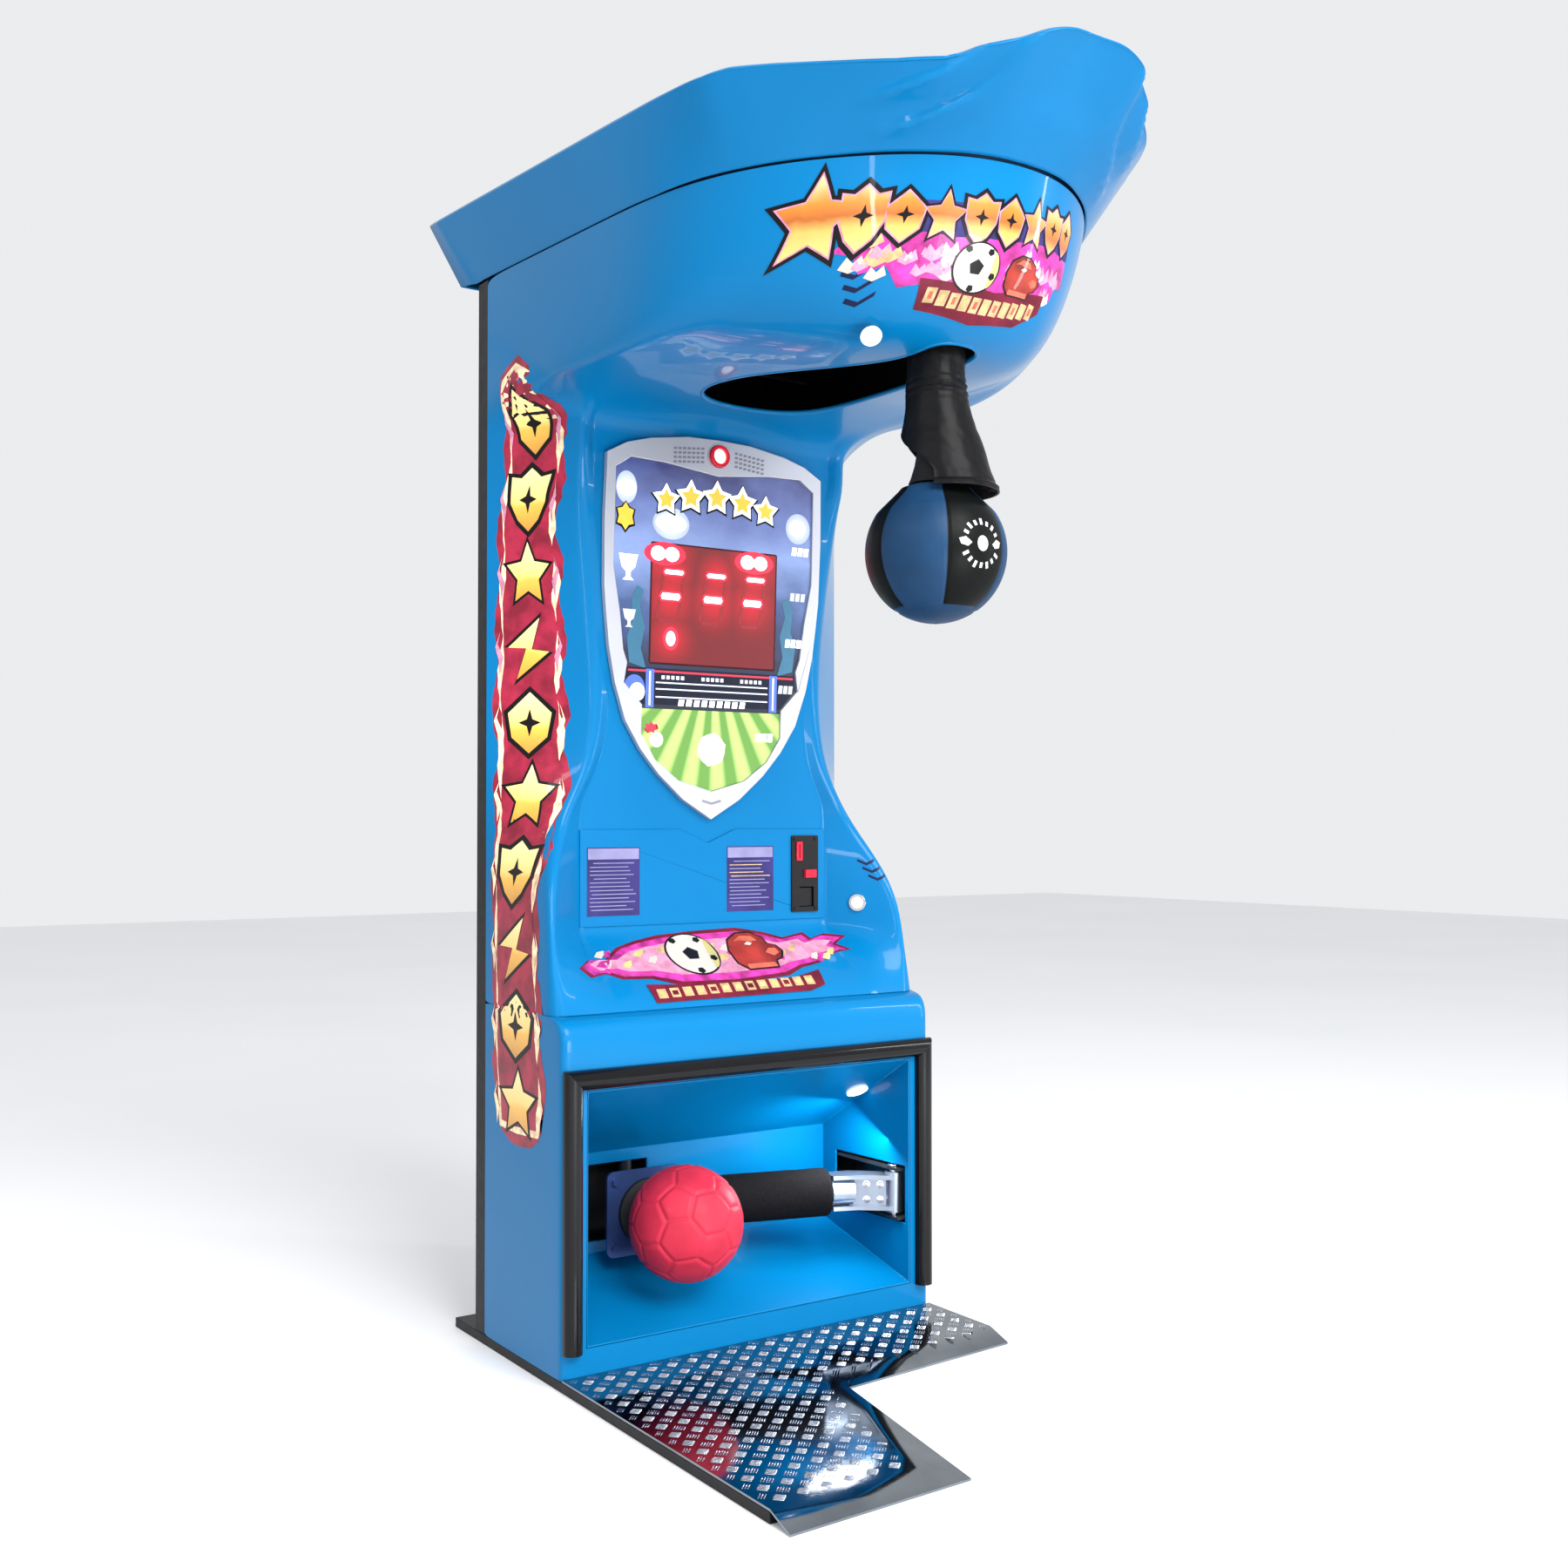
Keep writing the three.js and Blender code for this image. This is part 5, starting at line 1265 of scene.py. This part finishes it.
def football(art, x, y, r, squash, layer):
    """Printed football: pale disc, dark panels and a soft yellow shade."""
    art.add(ring_points(x, y, r * 1.08, r * 1.08 * squash), INK_BLACK, layer)
    art.add(ring_points(x, y, r, r * squash), INK_WHITE, layer + 1)
    art.add(ring_points(x + r * 0.62, y, r * 0.36, r * 0.76 * squash, 16, -math.pi / 2, math.pi / 2),
            YELLOW_WHITE, layer + 2)
    art.add(ring_points(x - r * 0.05, y, r * 0.34, r * 0.34 * squash, 5, math.pi / 2, 2.5 * math.pi),
            INK_BLACK, layer + 3)
    for k in range(5):
        turn = math.pi / 2 + math.pi / 5 + k * 2 * math.pi / 5
        px, py = x - r * 0.05 + math.cos(turn) * r * 0.86, y + math.sin(turn) * r * 0.86 * squash
        if (px - x) ** 2 + ((py - y) / squash) ** 2 < (r * 0.9) ** 2:
            art.add(ring_points(px, py, r * 0.16, r * 0.16 * squash, 5, turn, turn + 2 * math.pi),
                    INK_BLACK, layer + 3)


def glove(art, x, y, r, squash, layer):
    """Printed boxing glove seen from the side."""
    def at(points, k=1.0):
        return [(x + px * r * k, y + py * r * k * squash) for px, py in points]
    body = [(-0.95, -0.55), (-1.0, 0.1), (-0.8, 0.65), (-0.3, 0.98), (0.3, 0.98), (0.75, 0.7), (0.85, 0.35),
            (1.15, 0.25), (1.3, -0.05), (1.1, -0.4), (0.8, -0.5), (0.7, -0.85), (-0.6, -0.9)]
    art.add(at(body, 1.08), INK_BLACK, layer)
    art.add(at(body), GLOVE_RED, layer + 1)
    art.add(at([(-0.6, 0.55), (-0.2, 0.84), (0.3, 0.8), (0.5, 0.55), (0.1, 0.5), (-0.3, 0.6)]), GLOVE_LIGHT,
            layer + 2)
    art.add(at([(-0.2, 0.36), (0.0, 0.5), (0.2, 0.42), (0.05, 0.3)]), INK_WHITE, layer + 3)
    art.add(at([(0.55, -0.1), (0.8, 0.12), (1.1, 0.1), (1.15, -0.15), (0.85, -0.3)]), GLOVE_LIGHT, layer + 2)
    art.add(at([(-0.62, -0.9), (0.7, -0.85), (0.66, -0.62), (-0.62, -0.66)]), GLOVE_LIGHT, layer + 2)


def head_artwork():
    """Row of emblems, ball and glove on the front of the head."""
    lay = surface_lay(SHELL_SURFACE, lambda x, z: (x, -1100, z), (0, 1, 0))
    art = Transfer("head_artwork", lay, 10)
    cells = [(-262, 1857, 40, 62, "star"), (-212, 1856, 27, 46, "shield"), (-164, 1857, 27, 36, "gem"),
             (-112, 1858, 28, 35, "star"), (-58, 1860, 27, 35, "shield"), (-6, 1863, 26, 34, "gem"),
             (44, 1868, 25, 33, "star"), (90, 1873, 23, 32, "shield"), (132, 1879, 20, 31, "gem")]
    flames = [(-218, 1836), (-236, 1812), (-212, 1806), (-200, 1782), (-172, 1792), (-150, 1764),
              (-118, 1770), (-60, 1752), (0, 1748), (60, 1756), (104, 1772), (118, 1788), (134, 1784),
              (140, 1806), (164, 1812),
              (156, 1846), (90, 1850), (0, 1838), (-90, 1832), (-150, 1838)]
    art.add([(-222, 1850), (-100, 1826), (40, 1832), (158, 1850), (152, 1884), (-10, 1878), (-228, 1880)],
            INK_PURPLE, 0)
    art.add(flames, INK_MAGENTA, 1)
    rnd = random.Random(4)
    for k in range(46):
        x = rnd.uniform(-212, 138)
        z = 1802 + rnd.uniform(-22, 26) + (x + 212) * 0.01
        w = rnd.uniform(7, 17)
        ink = rnd.choice([INK_PINK, INK_PINK, INK_WHITE, FRONT_CREAM])
        art.add([(x - w, z - w * 0.3), (x - w * 0.1, z - w * 0.7), (x + w, z - w * 0.1),
                 (x + w * 0.5, z + w * 0.9),
                 (x, z + w * 0.2), (x - w * 0.6, z + w * 0.8)], ink, 2)
    art.add([(-124, 1777), (-116, 1738), (-20, 1727), (66, 1737), (114, 1764), (112, 1788), (0, 1770)],
            FRONT_RED, 3)
    for k in range(11):
        x = -102 + k * 19.0
        dip = 0.0009 * (x + 20) ** 2
        art.add(rect(x - 7.6, x + 7.6, 1741 + dip, 1760 + dip), FRONT_CREAM, 4)
        art.add(rect(x - 3, x + 3, 1746 + dip, 1755 + dip), YELLOW_WHITE if k % 2 else GLOVE_LIGHT, 5)
    for x, z, w, h, kind in cells:
        art.add(glyph(kind, x, z, w * 1.34, h * 1.26), INK_BLACK, 3)
    for x, z, w, h, kind in cells:
        art.add(glyph(kind, x, z, w * 1.12, h * 1.06), INK_PINK, 4)
        art.add(glyph(kind, x, z, w * 1.03, h * 0.98), HEAD_GOLD, 5)
        if kind != "star":
            art.add(star(x, z + h * 0.06, w * 0.42, h * 0.34, 4, 0.36), INK_BLACK, 6)
    football(art, -46, 1797, 37, 0.86, 6)
    glove(art, 42, 1797, 32, 0.86, 6)
    art.finish("cabinet", "blue_gloss")
    marks = Transfer("start_box_mark", lay, 6)
    pointer_mark(marks, -203, 1752, 1.0, -0.22)
    marks.finish("cabinet", "blue_gloss")


def pointer_mark(art, x, y, size, lean):
    """Small dark chevrons that point at a start button."""
    for k in range(3):
        top = y + 24 * size - k * 17 * size
        cx = x + k * 8 * size
        w, h, t = 15 * size, 9 * size, 6 * size
        art.add([(cx - w, top + h + lean * w), (cx, top), (cx + w, top + h - lean * w),
                 (cx + w, top + h + t - lean * w),
                 (cx, top + t), (cx - w, top + h + t + lean * w)], INK_NAVY, 0)


head_artwork()


def slope_artwork():
    """Band with ball and glove on the sloping front of the cabinet."""
    lay = surface_lay(SHELL_SURFACE, lambda x, z: (x, -300, z), (0, 1, 0))
    art = Transfer("slope_artwork", lay, 12)
    outline = [(-322, 706), (-290, 716), (-250, 714), (-214, 734), (-170, 744), (-120, 752), (-40, 757),
               (60, 760), (120, 750), (160, 738), (214, 746), (226, 734), (262, 742), (300, 738),
               (276, 722), (296, 712), (240, 702), (206, 690), (160, 684), (120, 672), (0, 664),
               (-120, 666), (-176, 680), (-236, 682),
               (-262, 692), (-300, 688)]
    art.add(outline, FRONT_RED, 0)
    art.add([(x * 0.97, 713 + (z - 713) * 0.86) for x, z in outline], INK_MAGENTA, 1)
    art.add([(x * 0.90, 713 + (z - 713) * 0.62) for x, z in outline], INK_PINK, 2)
    rnd = random.Random(12)
    for k in range(34):
        x = rnd.uniform(-270, 262)
        z = 712 + rnd.uniform(-15, 16)
        w = rnd.uniform(8, 20)
        art.add([(x - w, z - 3), (x, z - 6), (x + w * 0.7, z), (x + w, z + 7), (x - w * 0.2, z + 5)],
                rnd.choice([INK_WHITE, YELLOW_WHITE, INK_MAGENTA, FRONT_CREAM]), 3)
    football(art, -62, 717, 52, 0.64, 4)
    glove(art, 72, 716, 50, 0.66, 4)
    art.add([(-196, 671), (-190, 640), (150, 643), (188, 652), (192, 678), (130, 668), (-60, 664)],
            FRONT_RED, 7)
    for k in range(13):
        x = -172 + k * 27.4
        art.add(rect(x - 9.5, x + 9.5, 647 + k * 0.55, 662 + k * 0.55), FRONT_CREAM, 8)
        art.add(rect(x - 6, x + 6, 651 + k * 0.55, 658 + k * 0.55),
                FRONT_RED if k % 3 == 1 else YELLOW_WHITE, 9)
    art.finish("cabinet", "blue_gloss")
    marks = Transfer("start_kick_mark", surface_lay(SHELL_SURFACE, lambda x, z: (x, -300, z), (0, 1, 0)), 6)
    pointer_mark(marks, 341, 856, 0.9, 0.0)
    marks.finish("cabinet", "blue_gloss")


slope_artwork()


def panel_stickers():
    """Two plain stickers with lines in place of text on the coin panel."""
    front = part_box("coin_panel")[0].y / MM
    art = Transfer("panel_stickers", lambda x, z, lift: Vector((x, front - lift, z)), 60)
    rnd = random.Random(21)
    for x0, x1, warm in ((-261, -150, False), (43, 152, True)):
        art.add(rect(x0, x1, 791, 918), INK_PURPLE, 0)
        art.add(rect(x0 + 2, x1 - 2, 896, 916), INK_LILAC, 1)
        rows = 13
        for k in range(rows):
            z = 888 - k * 7.2
            end = x1 - 8 - rnd.random() * 26
            start = x0 + 6 + (rnd.random() * 10 if k % 4 == 0 else 0)
            ink = FRONT_CREAM if warm and k in (1, 3, 4) else INK_LILAC
            art.add(rect(start, end, z, z + 1.7), ink, 1)
    art.finish("cabinet", "blue_gloss")


panel_stickers()

# ---------- score shield ----------
SHIELD_LEAN = 30 / 727
PANEL_FRONT, SHIELD_FOOT = 182, 968


def shield_y(z):
    """Depth of the face of the shield, which leans."""
    return PANEL_FRONT - (z - SHIELD_FOOT) * SHIELD_LEAN - 1.5


def art_lay(front):
    """Lays a flat point a distance in front of the shield."""
    return lambda x, z, lift: Vector((x, shield_y(z) - front - lift, z))


def shield_background():
    """Printed night stadium: dusk sky above, dark stands behind the display, striped pitch below."""
    mat, tree, shader = blank("shield_print")
    coords = object_coords(tree)
    split = node(tree, "ShaderNodeSeparateXYZ")
    tree.links.new(coords, split.inputs[0])
    x, z = split.outputs["X"], split.outputs["Z"]
    cloud = noise_fac(tree, 9, 4, (1, 1, 1.4))
    level = node(tree, "ShaderNodeMapRange")
    level.inputs["From Min"].default_value = 1.19
    level.inputs["From Max"].default_value = 1.64
    tree.links.new(z, level.inputs["Value"])
    drift = math_node(tree, "MULTIPLY", math_node(tree, "SUBTRACT", cloud, 0.5), 0.35)
    shifted = math_node(tree, "ADD", level.outputs[0], drift)
    stops = [(0.0, (0.004, 0.006, 0.018)), (0.2, (0.006, 0.010, 0.035)), (0.42, (0.03, 0.06, 0.16)),
             (0.62, (0.17, 0.24, 0.46)), (0.78, (0.10, 0.14, 0.34)), (1.0, (0.025, 0.03, 0.12))]
    sky = color_bands(tree, shifted, stops)
    fall = math_node(tree, "SUBTRACT", 1.30, z)
    sweep = math_node(tree, "ARCTAN2", x, fall)
    stripes = math_node(tree, "SINE", math_node(tree, "MULTIPLY", sweep, 26.0))
    grass = blend_colors(tree, math_node(tree, "ADD", math_node(tree, "MULTIPLY", stripes, 0.5), 0.5),
                         (0.09, 0.22, 0.035), (0.33, 0.48, 0.13), 0.25, 0.75)
    below = math_node(tree, "LESS_THAN", z, 1.178)
    mix = node(tree, "ShaderNodeMix", data_type="RGBA")
    tree.links.new(below, mix.inputs[0])
    tree.links.new(sky, mix.inputs[6])
    tree.links.new(grass, mix.inputs[7])
    tree.links.new(mix.outputs[2], shader.inputs["Base Color"])
    tree.links.new(mix.outputs[2], shader.inputs["Emission Color"])
    shader.inputs["Emission Strength"].default_value = 0.35
    shader.inputs["Roughness"].default_value = 0.22
    shader.inputs["Coat Weight"].default_value = 0.8
    return mat


NODES["shield_panel"].data.materials[0] = shield_background()


def halo(name, color, strength, centres, spread):
    """Soft spots of light on a dark print; spread is the fading distance from each centre, in metres."""
    mat, tree, shader = blank(name)
    coords = object_coords(tree)
    total = None
    for cx, cz, size in centres:
        shift = node(tree, "ShaderNodeVectorMath", operation="SUBTRACT")
        shift.inputs[1].default_value = (cx, 0, cz)
        tree.links.new(coords, shift.inputs[0])
        flat = node(tree, "ShaderNodeVectorMath", operation="MULTIPLY")
        flat.inputs[1].default_value = (1, 0, 1)
        tree.links.new(shift.outputs[0], flat.inputs[0])
        length = node(tree, "ShaderNodeVectorMath", operation="LENGTH")
        tree.links.new(flat.outputs[0], length.inputs[0])
        value = math_node(tree, "DIVIDE", length.outputs["Value"], spread * size)
        falling = math_node(tree, "MULTIPLY", math_node(tree, "MULTIPLY", value, value), -1.0)
        value = math_node(tree, "POWER", 2.718, falling)
        total = value if total is None else math_node(tree, "MAXIMUM", total, value)
    shader.inputs["Base Color"].default_value = (*[c * 0.15 for c in color], 1)
    shader.inputs["Emission Color"].default_value = (*color, 1)
    tree.links.new(math_node(tree, "MULTIPLY", total, strength), shader.inputs["Emission Strength"])
    shader.inputs["Roughness"].default_value = 0.2
    shader.inputs["Coat Weight"].default_value = 0.8
    return mat


SEG_HOT = glowing("segment_hot", (1.0, 0.62, 0.60), 3.2, base=(1, 0.75, 0.72))
SEG_RED = glowing("segment_glow", (1.0, 0.005, 0.04), 1.1, base=(0.8, 0.02, 0.04))
SEG_DIM = glowing("segment_dim", (0.50, 0.0, 0.01), 0.30, base=(0.16, 0.008, 0.012))
WHITE_SPOT = glowing("lit_white", (0.95, 0.97, 1.0), 0.9)
ICON_GOLD = glowing("icon_gold", (0.90, 0.55, 0.05), 0.35, base=(0.72, 0.44, 0.04))
ICON_GREY = glowing("icon_grey", (0.50, 0.52, 0.56), 0.2, base=(0.42, 0.44, 0.48))
ICON_TEAL = glowing("icon_teal", (0.03, 0.14, 0.24), 0.3, base=(0.02, 0.10, 0.17))
ROPE_RED = glowing("rope_red", (0.55, 0.02, 0.05), 0.25, base=(0.45, 0.02, 0.05))
ROPE_WHITE = glowing("rope_white", (0.62, 0.66, 0.78), 0.3, base=(0.55, 0.58, 0.68))
POST_BLUE = glowing("post_blue", (0.06, 0.13, 0.55), 0.4, base=(0.05, 0.10, 0.45))
NIGHT = material("night_print", (0.006, 0.008, 0.02), 0.25, coat=0.8)


def digit(art, x, z, lit, layer=1):
    """Seven-segment figure, leaning a little; lit names the segments that glow."""
    wide, tall, lean = 46, 92, 0.14
    bars = {"top": (0, tall / 2, 1), "mid": (0, 0, 1), "low": (0, -tall / 2, 1),
            "ul": (-wide / 2, tall / 4, 0),
            "ur": (wide / 2, tall / 4, 0), "ll": (-wide / 2, -tall / 4, 0), "lr": (wide / 2, -tall / 4, 0)}
    for name, (bx, bz, flat) in bars.items():
        half_w, half_h = (wide / 2 - 4, 3.4) if flat else (3.4, tall / 4 - 4)
        shape = [(-half_w, 0), (-half_w + 3, half_h), (half_w - 3, half_h), (half_w, 0),
                 (half_w - 3, -half_h),
                 (-half_w + 3, -half_h)] if flat else \
            [(0, -half_h), (half_w, -half_h + 3), (half_w, half_h - 3), (0, half_h), (-half_w, half_h - 3),
             (-half_w, -half_h + 3)]
        where = [(x + bx + u + (bz + v) * lean, z + bz + v) for u, v in shape]
        if name in lit:
            size = lit[name]
            cx = sum(p[0] for p in where) / 6
            cz = sum(p[1] for p in where) / 6
            glow = [(cx + (u - cx) * 1.32, cz + (v - cz) * (1.8 + size)) for u, v in where]
            hot = [(cx + (u - cx) * 1.12, cz + (v - cz) * (0.9 + size * 0.9)) for u, v in where]
            art.add(glow, SEG_RED, layer + 1)
            art.add(hot, SEG_HOT, layer + 2)
        else:
            art.add(where, SEG_DIM, layer)


def display_artwork():
    """Glowing segments and lamps on the display."""
    front = 8
    glow_spots = [(-0.098, 1.388, 1.2), (0.0, 1.388, 1.2), (0.085, 1.388, 1.2), (-0.092, 1.437, 1.0),
                  (0.004, 1.437, 1.0), (0.09, 1.437, 1.0), (-0.112, 1.468, 1.5), (0.088, 1.468, 1.5),
                  (-0.096, 1.311, 1.0)]
    glow = halo("display_glow", (0.85, 0.0, 0.02), 0.75, glow_spots, 0.034)
    art = Transfer("display_artwork", art_lay(front), 60)
    art.add(rect(-139, 139, 1265, 1487), glow, 0)
    for x in (-98, -4, 86):
        digit(art, x, 1390, {"top": 0.35, "mid": 1.0})
    for x in (-112, 88):
        block = ring_points(x, 1469, 41, 22, 24)
        art.add([(x + (u - x) * (1.0 + 0.1 * (abs(u - x) > 25)), 1469 + (v - 1469)) for u, v in block],
                SEG_RED, 2)
        for side in (-1, 1):
            art.add(ring_points(x + side * 15, 1469, 16, 14, 12), SEG_HOT, 3)
    art.add(ring_points(-96, 1311, 17, 22, 20), SEG_RED, 2)
    art.add(ring_points(-96, 1311, 10, 14, 18), SEG_HOT, 3)
    art.finish("cabinet", "display_glass")


display_artwork()


def shield_artwork():
    """Stars, cups, ring posts and pitch printed on the shield."""
    front = 8
    sky_glow = halo("floodlights", (0.62, 0.72, 1.0), 1.3,
                    [(-0.197, 1.585, 1.2), (0.19, 1.545, 1.1), (-0.10, 1.527, 1.5),
                     (0.205, 1.43, 0.7)], 0.036)
    art = Transfer("shield_artwork", art_lay(front), 80)
    for cx, cz, r in ((-197, 1585, 42), (190, 1545, 38), (-100, 1527, 40)):
        art.add(ring_points(cx, cz, min(r, 219 - abs(cx)) if abs(cx) > 150 else r, min(r, 30)), sky_glow, 0)
    art.add(ring_points(-100, 1527, 34, 17, 20), WHITE_SPOT, 1)
    art.add(ring_points(-196, 1584, 20, 15, 20), WHITE_SPOT, 1)
    art.add(ring_points(188, 1546, 20, 16, 20), WHITE_SPOT, 1)
    for k, x in enumerate((-112, -58, 0, 58, 112)):
        z = 1575 + 14 * math.cos(k / 4 * math.pi - math.pi / 2) - 4
        size = 31 if k in (0, 4) else 34
        art.add(star(x, z - 2, size * 1.15, size * 1.12, 5, 0.56), INK_BLACK, 2)
        art.add(star(x, z, size, size, 5, 0.56), WHITE_SPOT, 3)
        art.add(star(x, z, size * 0.66, size * 0.66, 5, 0.52), ICON_GOLD, 4)
    art.add(star(-198, 1530, 24, 30, 6, 0.74), INK_BLACK, 1)
    art.add(star(-198, 1531, 20, 26, 6, 0.7), ICON_GOLD, 2)
    cup = [(-20, 22), (20, 22), (14, -2), (5, -10), (5, -20), (12, -26), (-12, -26), (-5, -20), (-5, -10),
           (-14, -2)]
    for x, z, size, ink in ((-190, 1440, 1.0, WHITE_SPOT), (-186, 1345, 0.7, ICON_GREY)):
        art.add([(x + u * size, z + v * size) for u, v in cup], ink, 2)
    for x, z, w, ink in ((196, 1500, 20, WHITE_SPOT), (192, 1410, 18, ICON_GREY), (184, 1318, 19, WHITE_SPOT),
                         (168, 1226, 17, ICON_GREY), (120, 1130, 20, WHITE_SPOT)):
        for k in range(3):
            art.add(rect(x - w + k * w * 0.7, x - w + k * w * 0.7 + w * 0.56, z - 8, z + 8, 2), ink, 2)
    for side in (-1, 1):
        figure = [(148, 1252), (160, 1290), (152, 1330), (164, 1368), (156, 1398), (170, 1406), (182, 1380),
                  (178, 1340), (190, 1310), (184, 1262)]
        art.add([(side * x, z) for x, z in figure], ICON_TEAL, 1)
    art.add([(-188, 1254), (188, 1254), (190, 1226), (157, 1186), (-157, 1186), (-190, 1226)], NIGHT, 1)
    art.add(rect(-186, 186, 1246, 1250), ROPE_RED, 2)
    for z, ink in ((1226, ROPE_WHITE), (1214, ROPE_WHITE), (1199, ROPE_WHITE)):
        art.add(rect(-126, 126, z, z + 2.6), ink, 2)
    for x in (-88, 0, 88):
        for k in range(5):
            art.add(rect(x - 26 + k * 10.6, x - 19 + k * 10.6, 1234, 1241), ROPE_WHITE, 3)
    for k in range(9):
        art.add(rect(-77 + k * 17.2, -65 + k * 17.2, 1185, 1197, 2), WHITE_SPOT, 4)
    for side in (-1, 1):
        art.add(rect(side * 139 - 9, side * 139 + 9, 1180, 1252), POST_BLUE, 3)
        art.add(rect(side * 139 - 2, side * 139 + 2, 1184, 1248), ROPE_WHITE, 4)
    art.add(ring_points(-172, 1216, 22, 24, 24), POST_BLUE, 4)
    art.add(ring_points(-166, 1208, 16, 17, 24), WHITE_SPOT, 5)
    art.add(ring_points(-122, 1120, 14, 14, 24), WHITE_SPOT, 2)
    art.add(star(-134, 1142, 16, 12, 7, 0.6), ROPE_RED, 2)
    art.add(ring_points(0, 1104, 33, 33, 6, 0.3, 2 * math.pi + 0.3), WHITE_SPOT, 2)
    art.add(ring_points(0, 1104, 30, 30, 24), WHITE_SPOT, 3)
    art.finish("cabinet", "display_art")


shield_artwork()


def frame_marks():
    """Fine dark hatching either side of the lamp and a small plain mark at the tip of the shield."""
    art = Transfer("frame_marks", art_lay(13.0), 80)
    hatch = material("hatch_grey", (0.20, 0.20, 0.24), 0.4, metal=0.3)
    for side in (-1, 1):
        for row in range(4):
            z = 1676 - row * 8.4
            for k in range(7):
                x = side * (38 + k * 10)
                art.add(rect(x - 3.6, x + 3.6, z - abs(x) * 0.10, z + 4.4 - abs(x) * 0.10, 1.5), hatch, 0)
    art.add([(-22, 1004), (0, 998), (22, 1004), (20, 1008), (0, 1002.5), (-20, 1008)], hatch, 0)
    art.finish("cabinet", "silver_plastic")


frame_marks()


# ---------- hinge bolts ----------
def bolt(name, place, way, radius, body):
    """Hexagon head on a washer, standing on a face that looks along way."""
    way = Vector(way).normalized()
    side = way.cross(Vector((0, 0, 1))).normalized()
    up = side.cross(way)
    rings = [(radius * 1.45, -0.5, 24), (radius * 1.45, 1.2, 24), (radius * 1.05, 1.3, 6), (radius, 1.3, 6),
             (radius, 4.6, 6), (radius * 0.82, 5.4, 6), (radius * 0.01, 5.5, 6)]
    points, faces = [], []
    for r, height, corners in rings:
        for k in range(24):
            turn = 2 * math.pi * k / 24
            sector = math.pi / corners
            flat = math.cos(sector) / math.cos((turn % (2 * sector)) - sector) if corners == 6 else 1
            out = side * math.cos(turn) + up * math.sin(turn)
            points.append(Vector(place) + way * height + out * r * flat)
    faces = grid_faces(len(rings), 24, loop=True)
    made = build(name, points, faces, [CHROME])
    fix_normals(made)
    made.data.set_sharp_from_angle(angle=math.radians(35))
    return finish_piece(made, body, "chrome")


HINGE_BOLTS = [(325, 252), (325, 222), (304, 252), (304, 222)]
HINGE_EDGE, HINGE_SLOPE = (344, 44), 0.782
for index, (bolt_x, bolt_z) in enumerate(HINGE_BOLTS):
    bolt_y = HINGE_EDGE[1] + (HINGE_EDGE[0] - bolt_x) * HINGE_SLOPE
    bolt("hinge_bolt_%d" % index, (bolt_x, bolt_y, bolt_z), (-0.616, -0.788, 0), 5, "kick_arm")


# ---------- stage, light, camera ----------
def stage():
    """Pale plain floor."""
    mat, tree, shader = blank("pale_floor")
    tree.links.new(blend_colors(tree, noise_fac(tree, 0.6), (0.80, 0.81, 0.82), (0.83, 0.83, 0.84)),
                   shader.inputs["Base Color"])
    shader.inputs["Roughness"].default_value = 0.6
    size = 14000
    corners = [(-size, -size, 0), (size, -size, 0), (size, size, 0), (-size, size, 0)]
    floor = build("floor", corners, [(0, 1, 2, 3)], [mat], smooth=False)
    floor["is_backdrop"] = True


# name, place, target, width and height in metres, power in watts
LAMPS = [
    ("key", (-0.2, -4.6, 4.4), (0, 0, 1.0), (3.6, 3.0), 480),
    ("low", (0.15, -3.4, 0.55), (0, 0, 0.35), (1.5, 0.7), 60),
    ("strip_left", (-2.9, -3.3, 1.5), (-0.2, 0, 1.3), (0.12, 2.6), 22),
    ("strip_high", (-3.6, -1.2, 3.4), (0, -0.6, 2.0), (3.0, 0.26), 36),
    ("strip_right", (2.6, -2.2, 1.6), (0.2, 0, 1.2), (0.12, 2.4), 30),
    ("recess", (0.262, 0.060, 0.372), (0.16, 0.20, 0.12), (0.14, 0.12), 1.7),
]


def area_light(name, place, target, size, power):
    """Rectangular lamp that looks at a target."""
    data = bpy.data.lights.new(name, "AREA")
    data.shape = "RECTANGLE"
    data.size, data.size_y = size
    data.energy = power
    made = bpy.data.objects.new(name, data)
    SCENE.collection.objects.link(made)
    made.location = place
    made.rotation_euler = (Vector(target) - Vector(place)).to_track_quat("-Z", "Y").to_euler()


def lighting():
    """Soft studio light from the front with strips for the gloss."""
    world = bpy.data.worlds.new("studio")
    SCENE.world = world
    world.use_nodes = True
    background = world.node_tree.nodes["Background"]
    background.inputs["Color"].default_value = (0.97, 0.98, 1.0, 1)
    background.inputs["Strength"].default_value = 0.86
    for lamp in LAMPS:
        area_light(*lamp)


CAMERA_PLACE = (-1.6726, -2.5215, 0.9655)
CAMERA_YAW, CAMERA_PITCH = 34.42, 1.01
CAMERA_LENS, CAMERA_SHIFT = 37.82, 0.0056


def camera():
    """Eye level view from the front left."""
    yaw, pitch = math.radians(CAMERA_YAW), math.radians(CAMERA_PITCH)
    data = bpy.data.cameras.new("camera")
    data.sensor_width = 36
    data.lens = CAMERA_LENS
    data.shift_y = CAMERA_SHIFT
    made = bpy.data.objects.new("camera", data)
    SCENE.collection.objects.link(made)
    made.location = CAMERA_PLACE
    look = Vector((math.sin(yaw) * math.cos(pitch), math.cos(yaw) * math.cos(pitch), math.sin(pitch)))
    made.rotation_euler = look.to_track_quat("-Z", "Y").to_euler()
    SCENE.camera = made


stage()
lighting()
camera()
SCENE.view_settings.view_transform = "Standard"

{"cad": CAD_BOX, "visual": [list(v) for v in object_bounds()]}
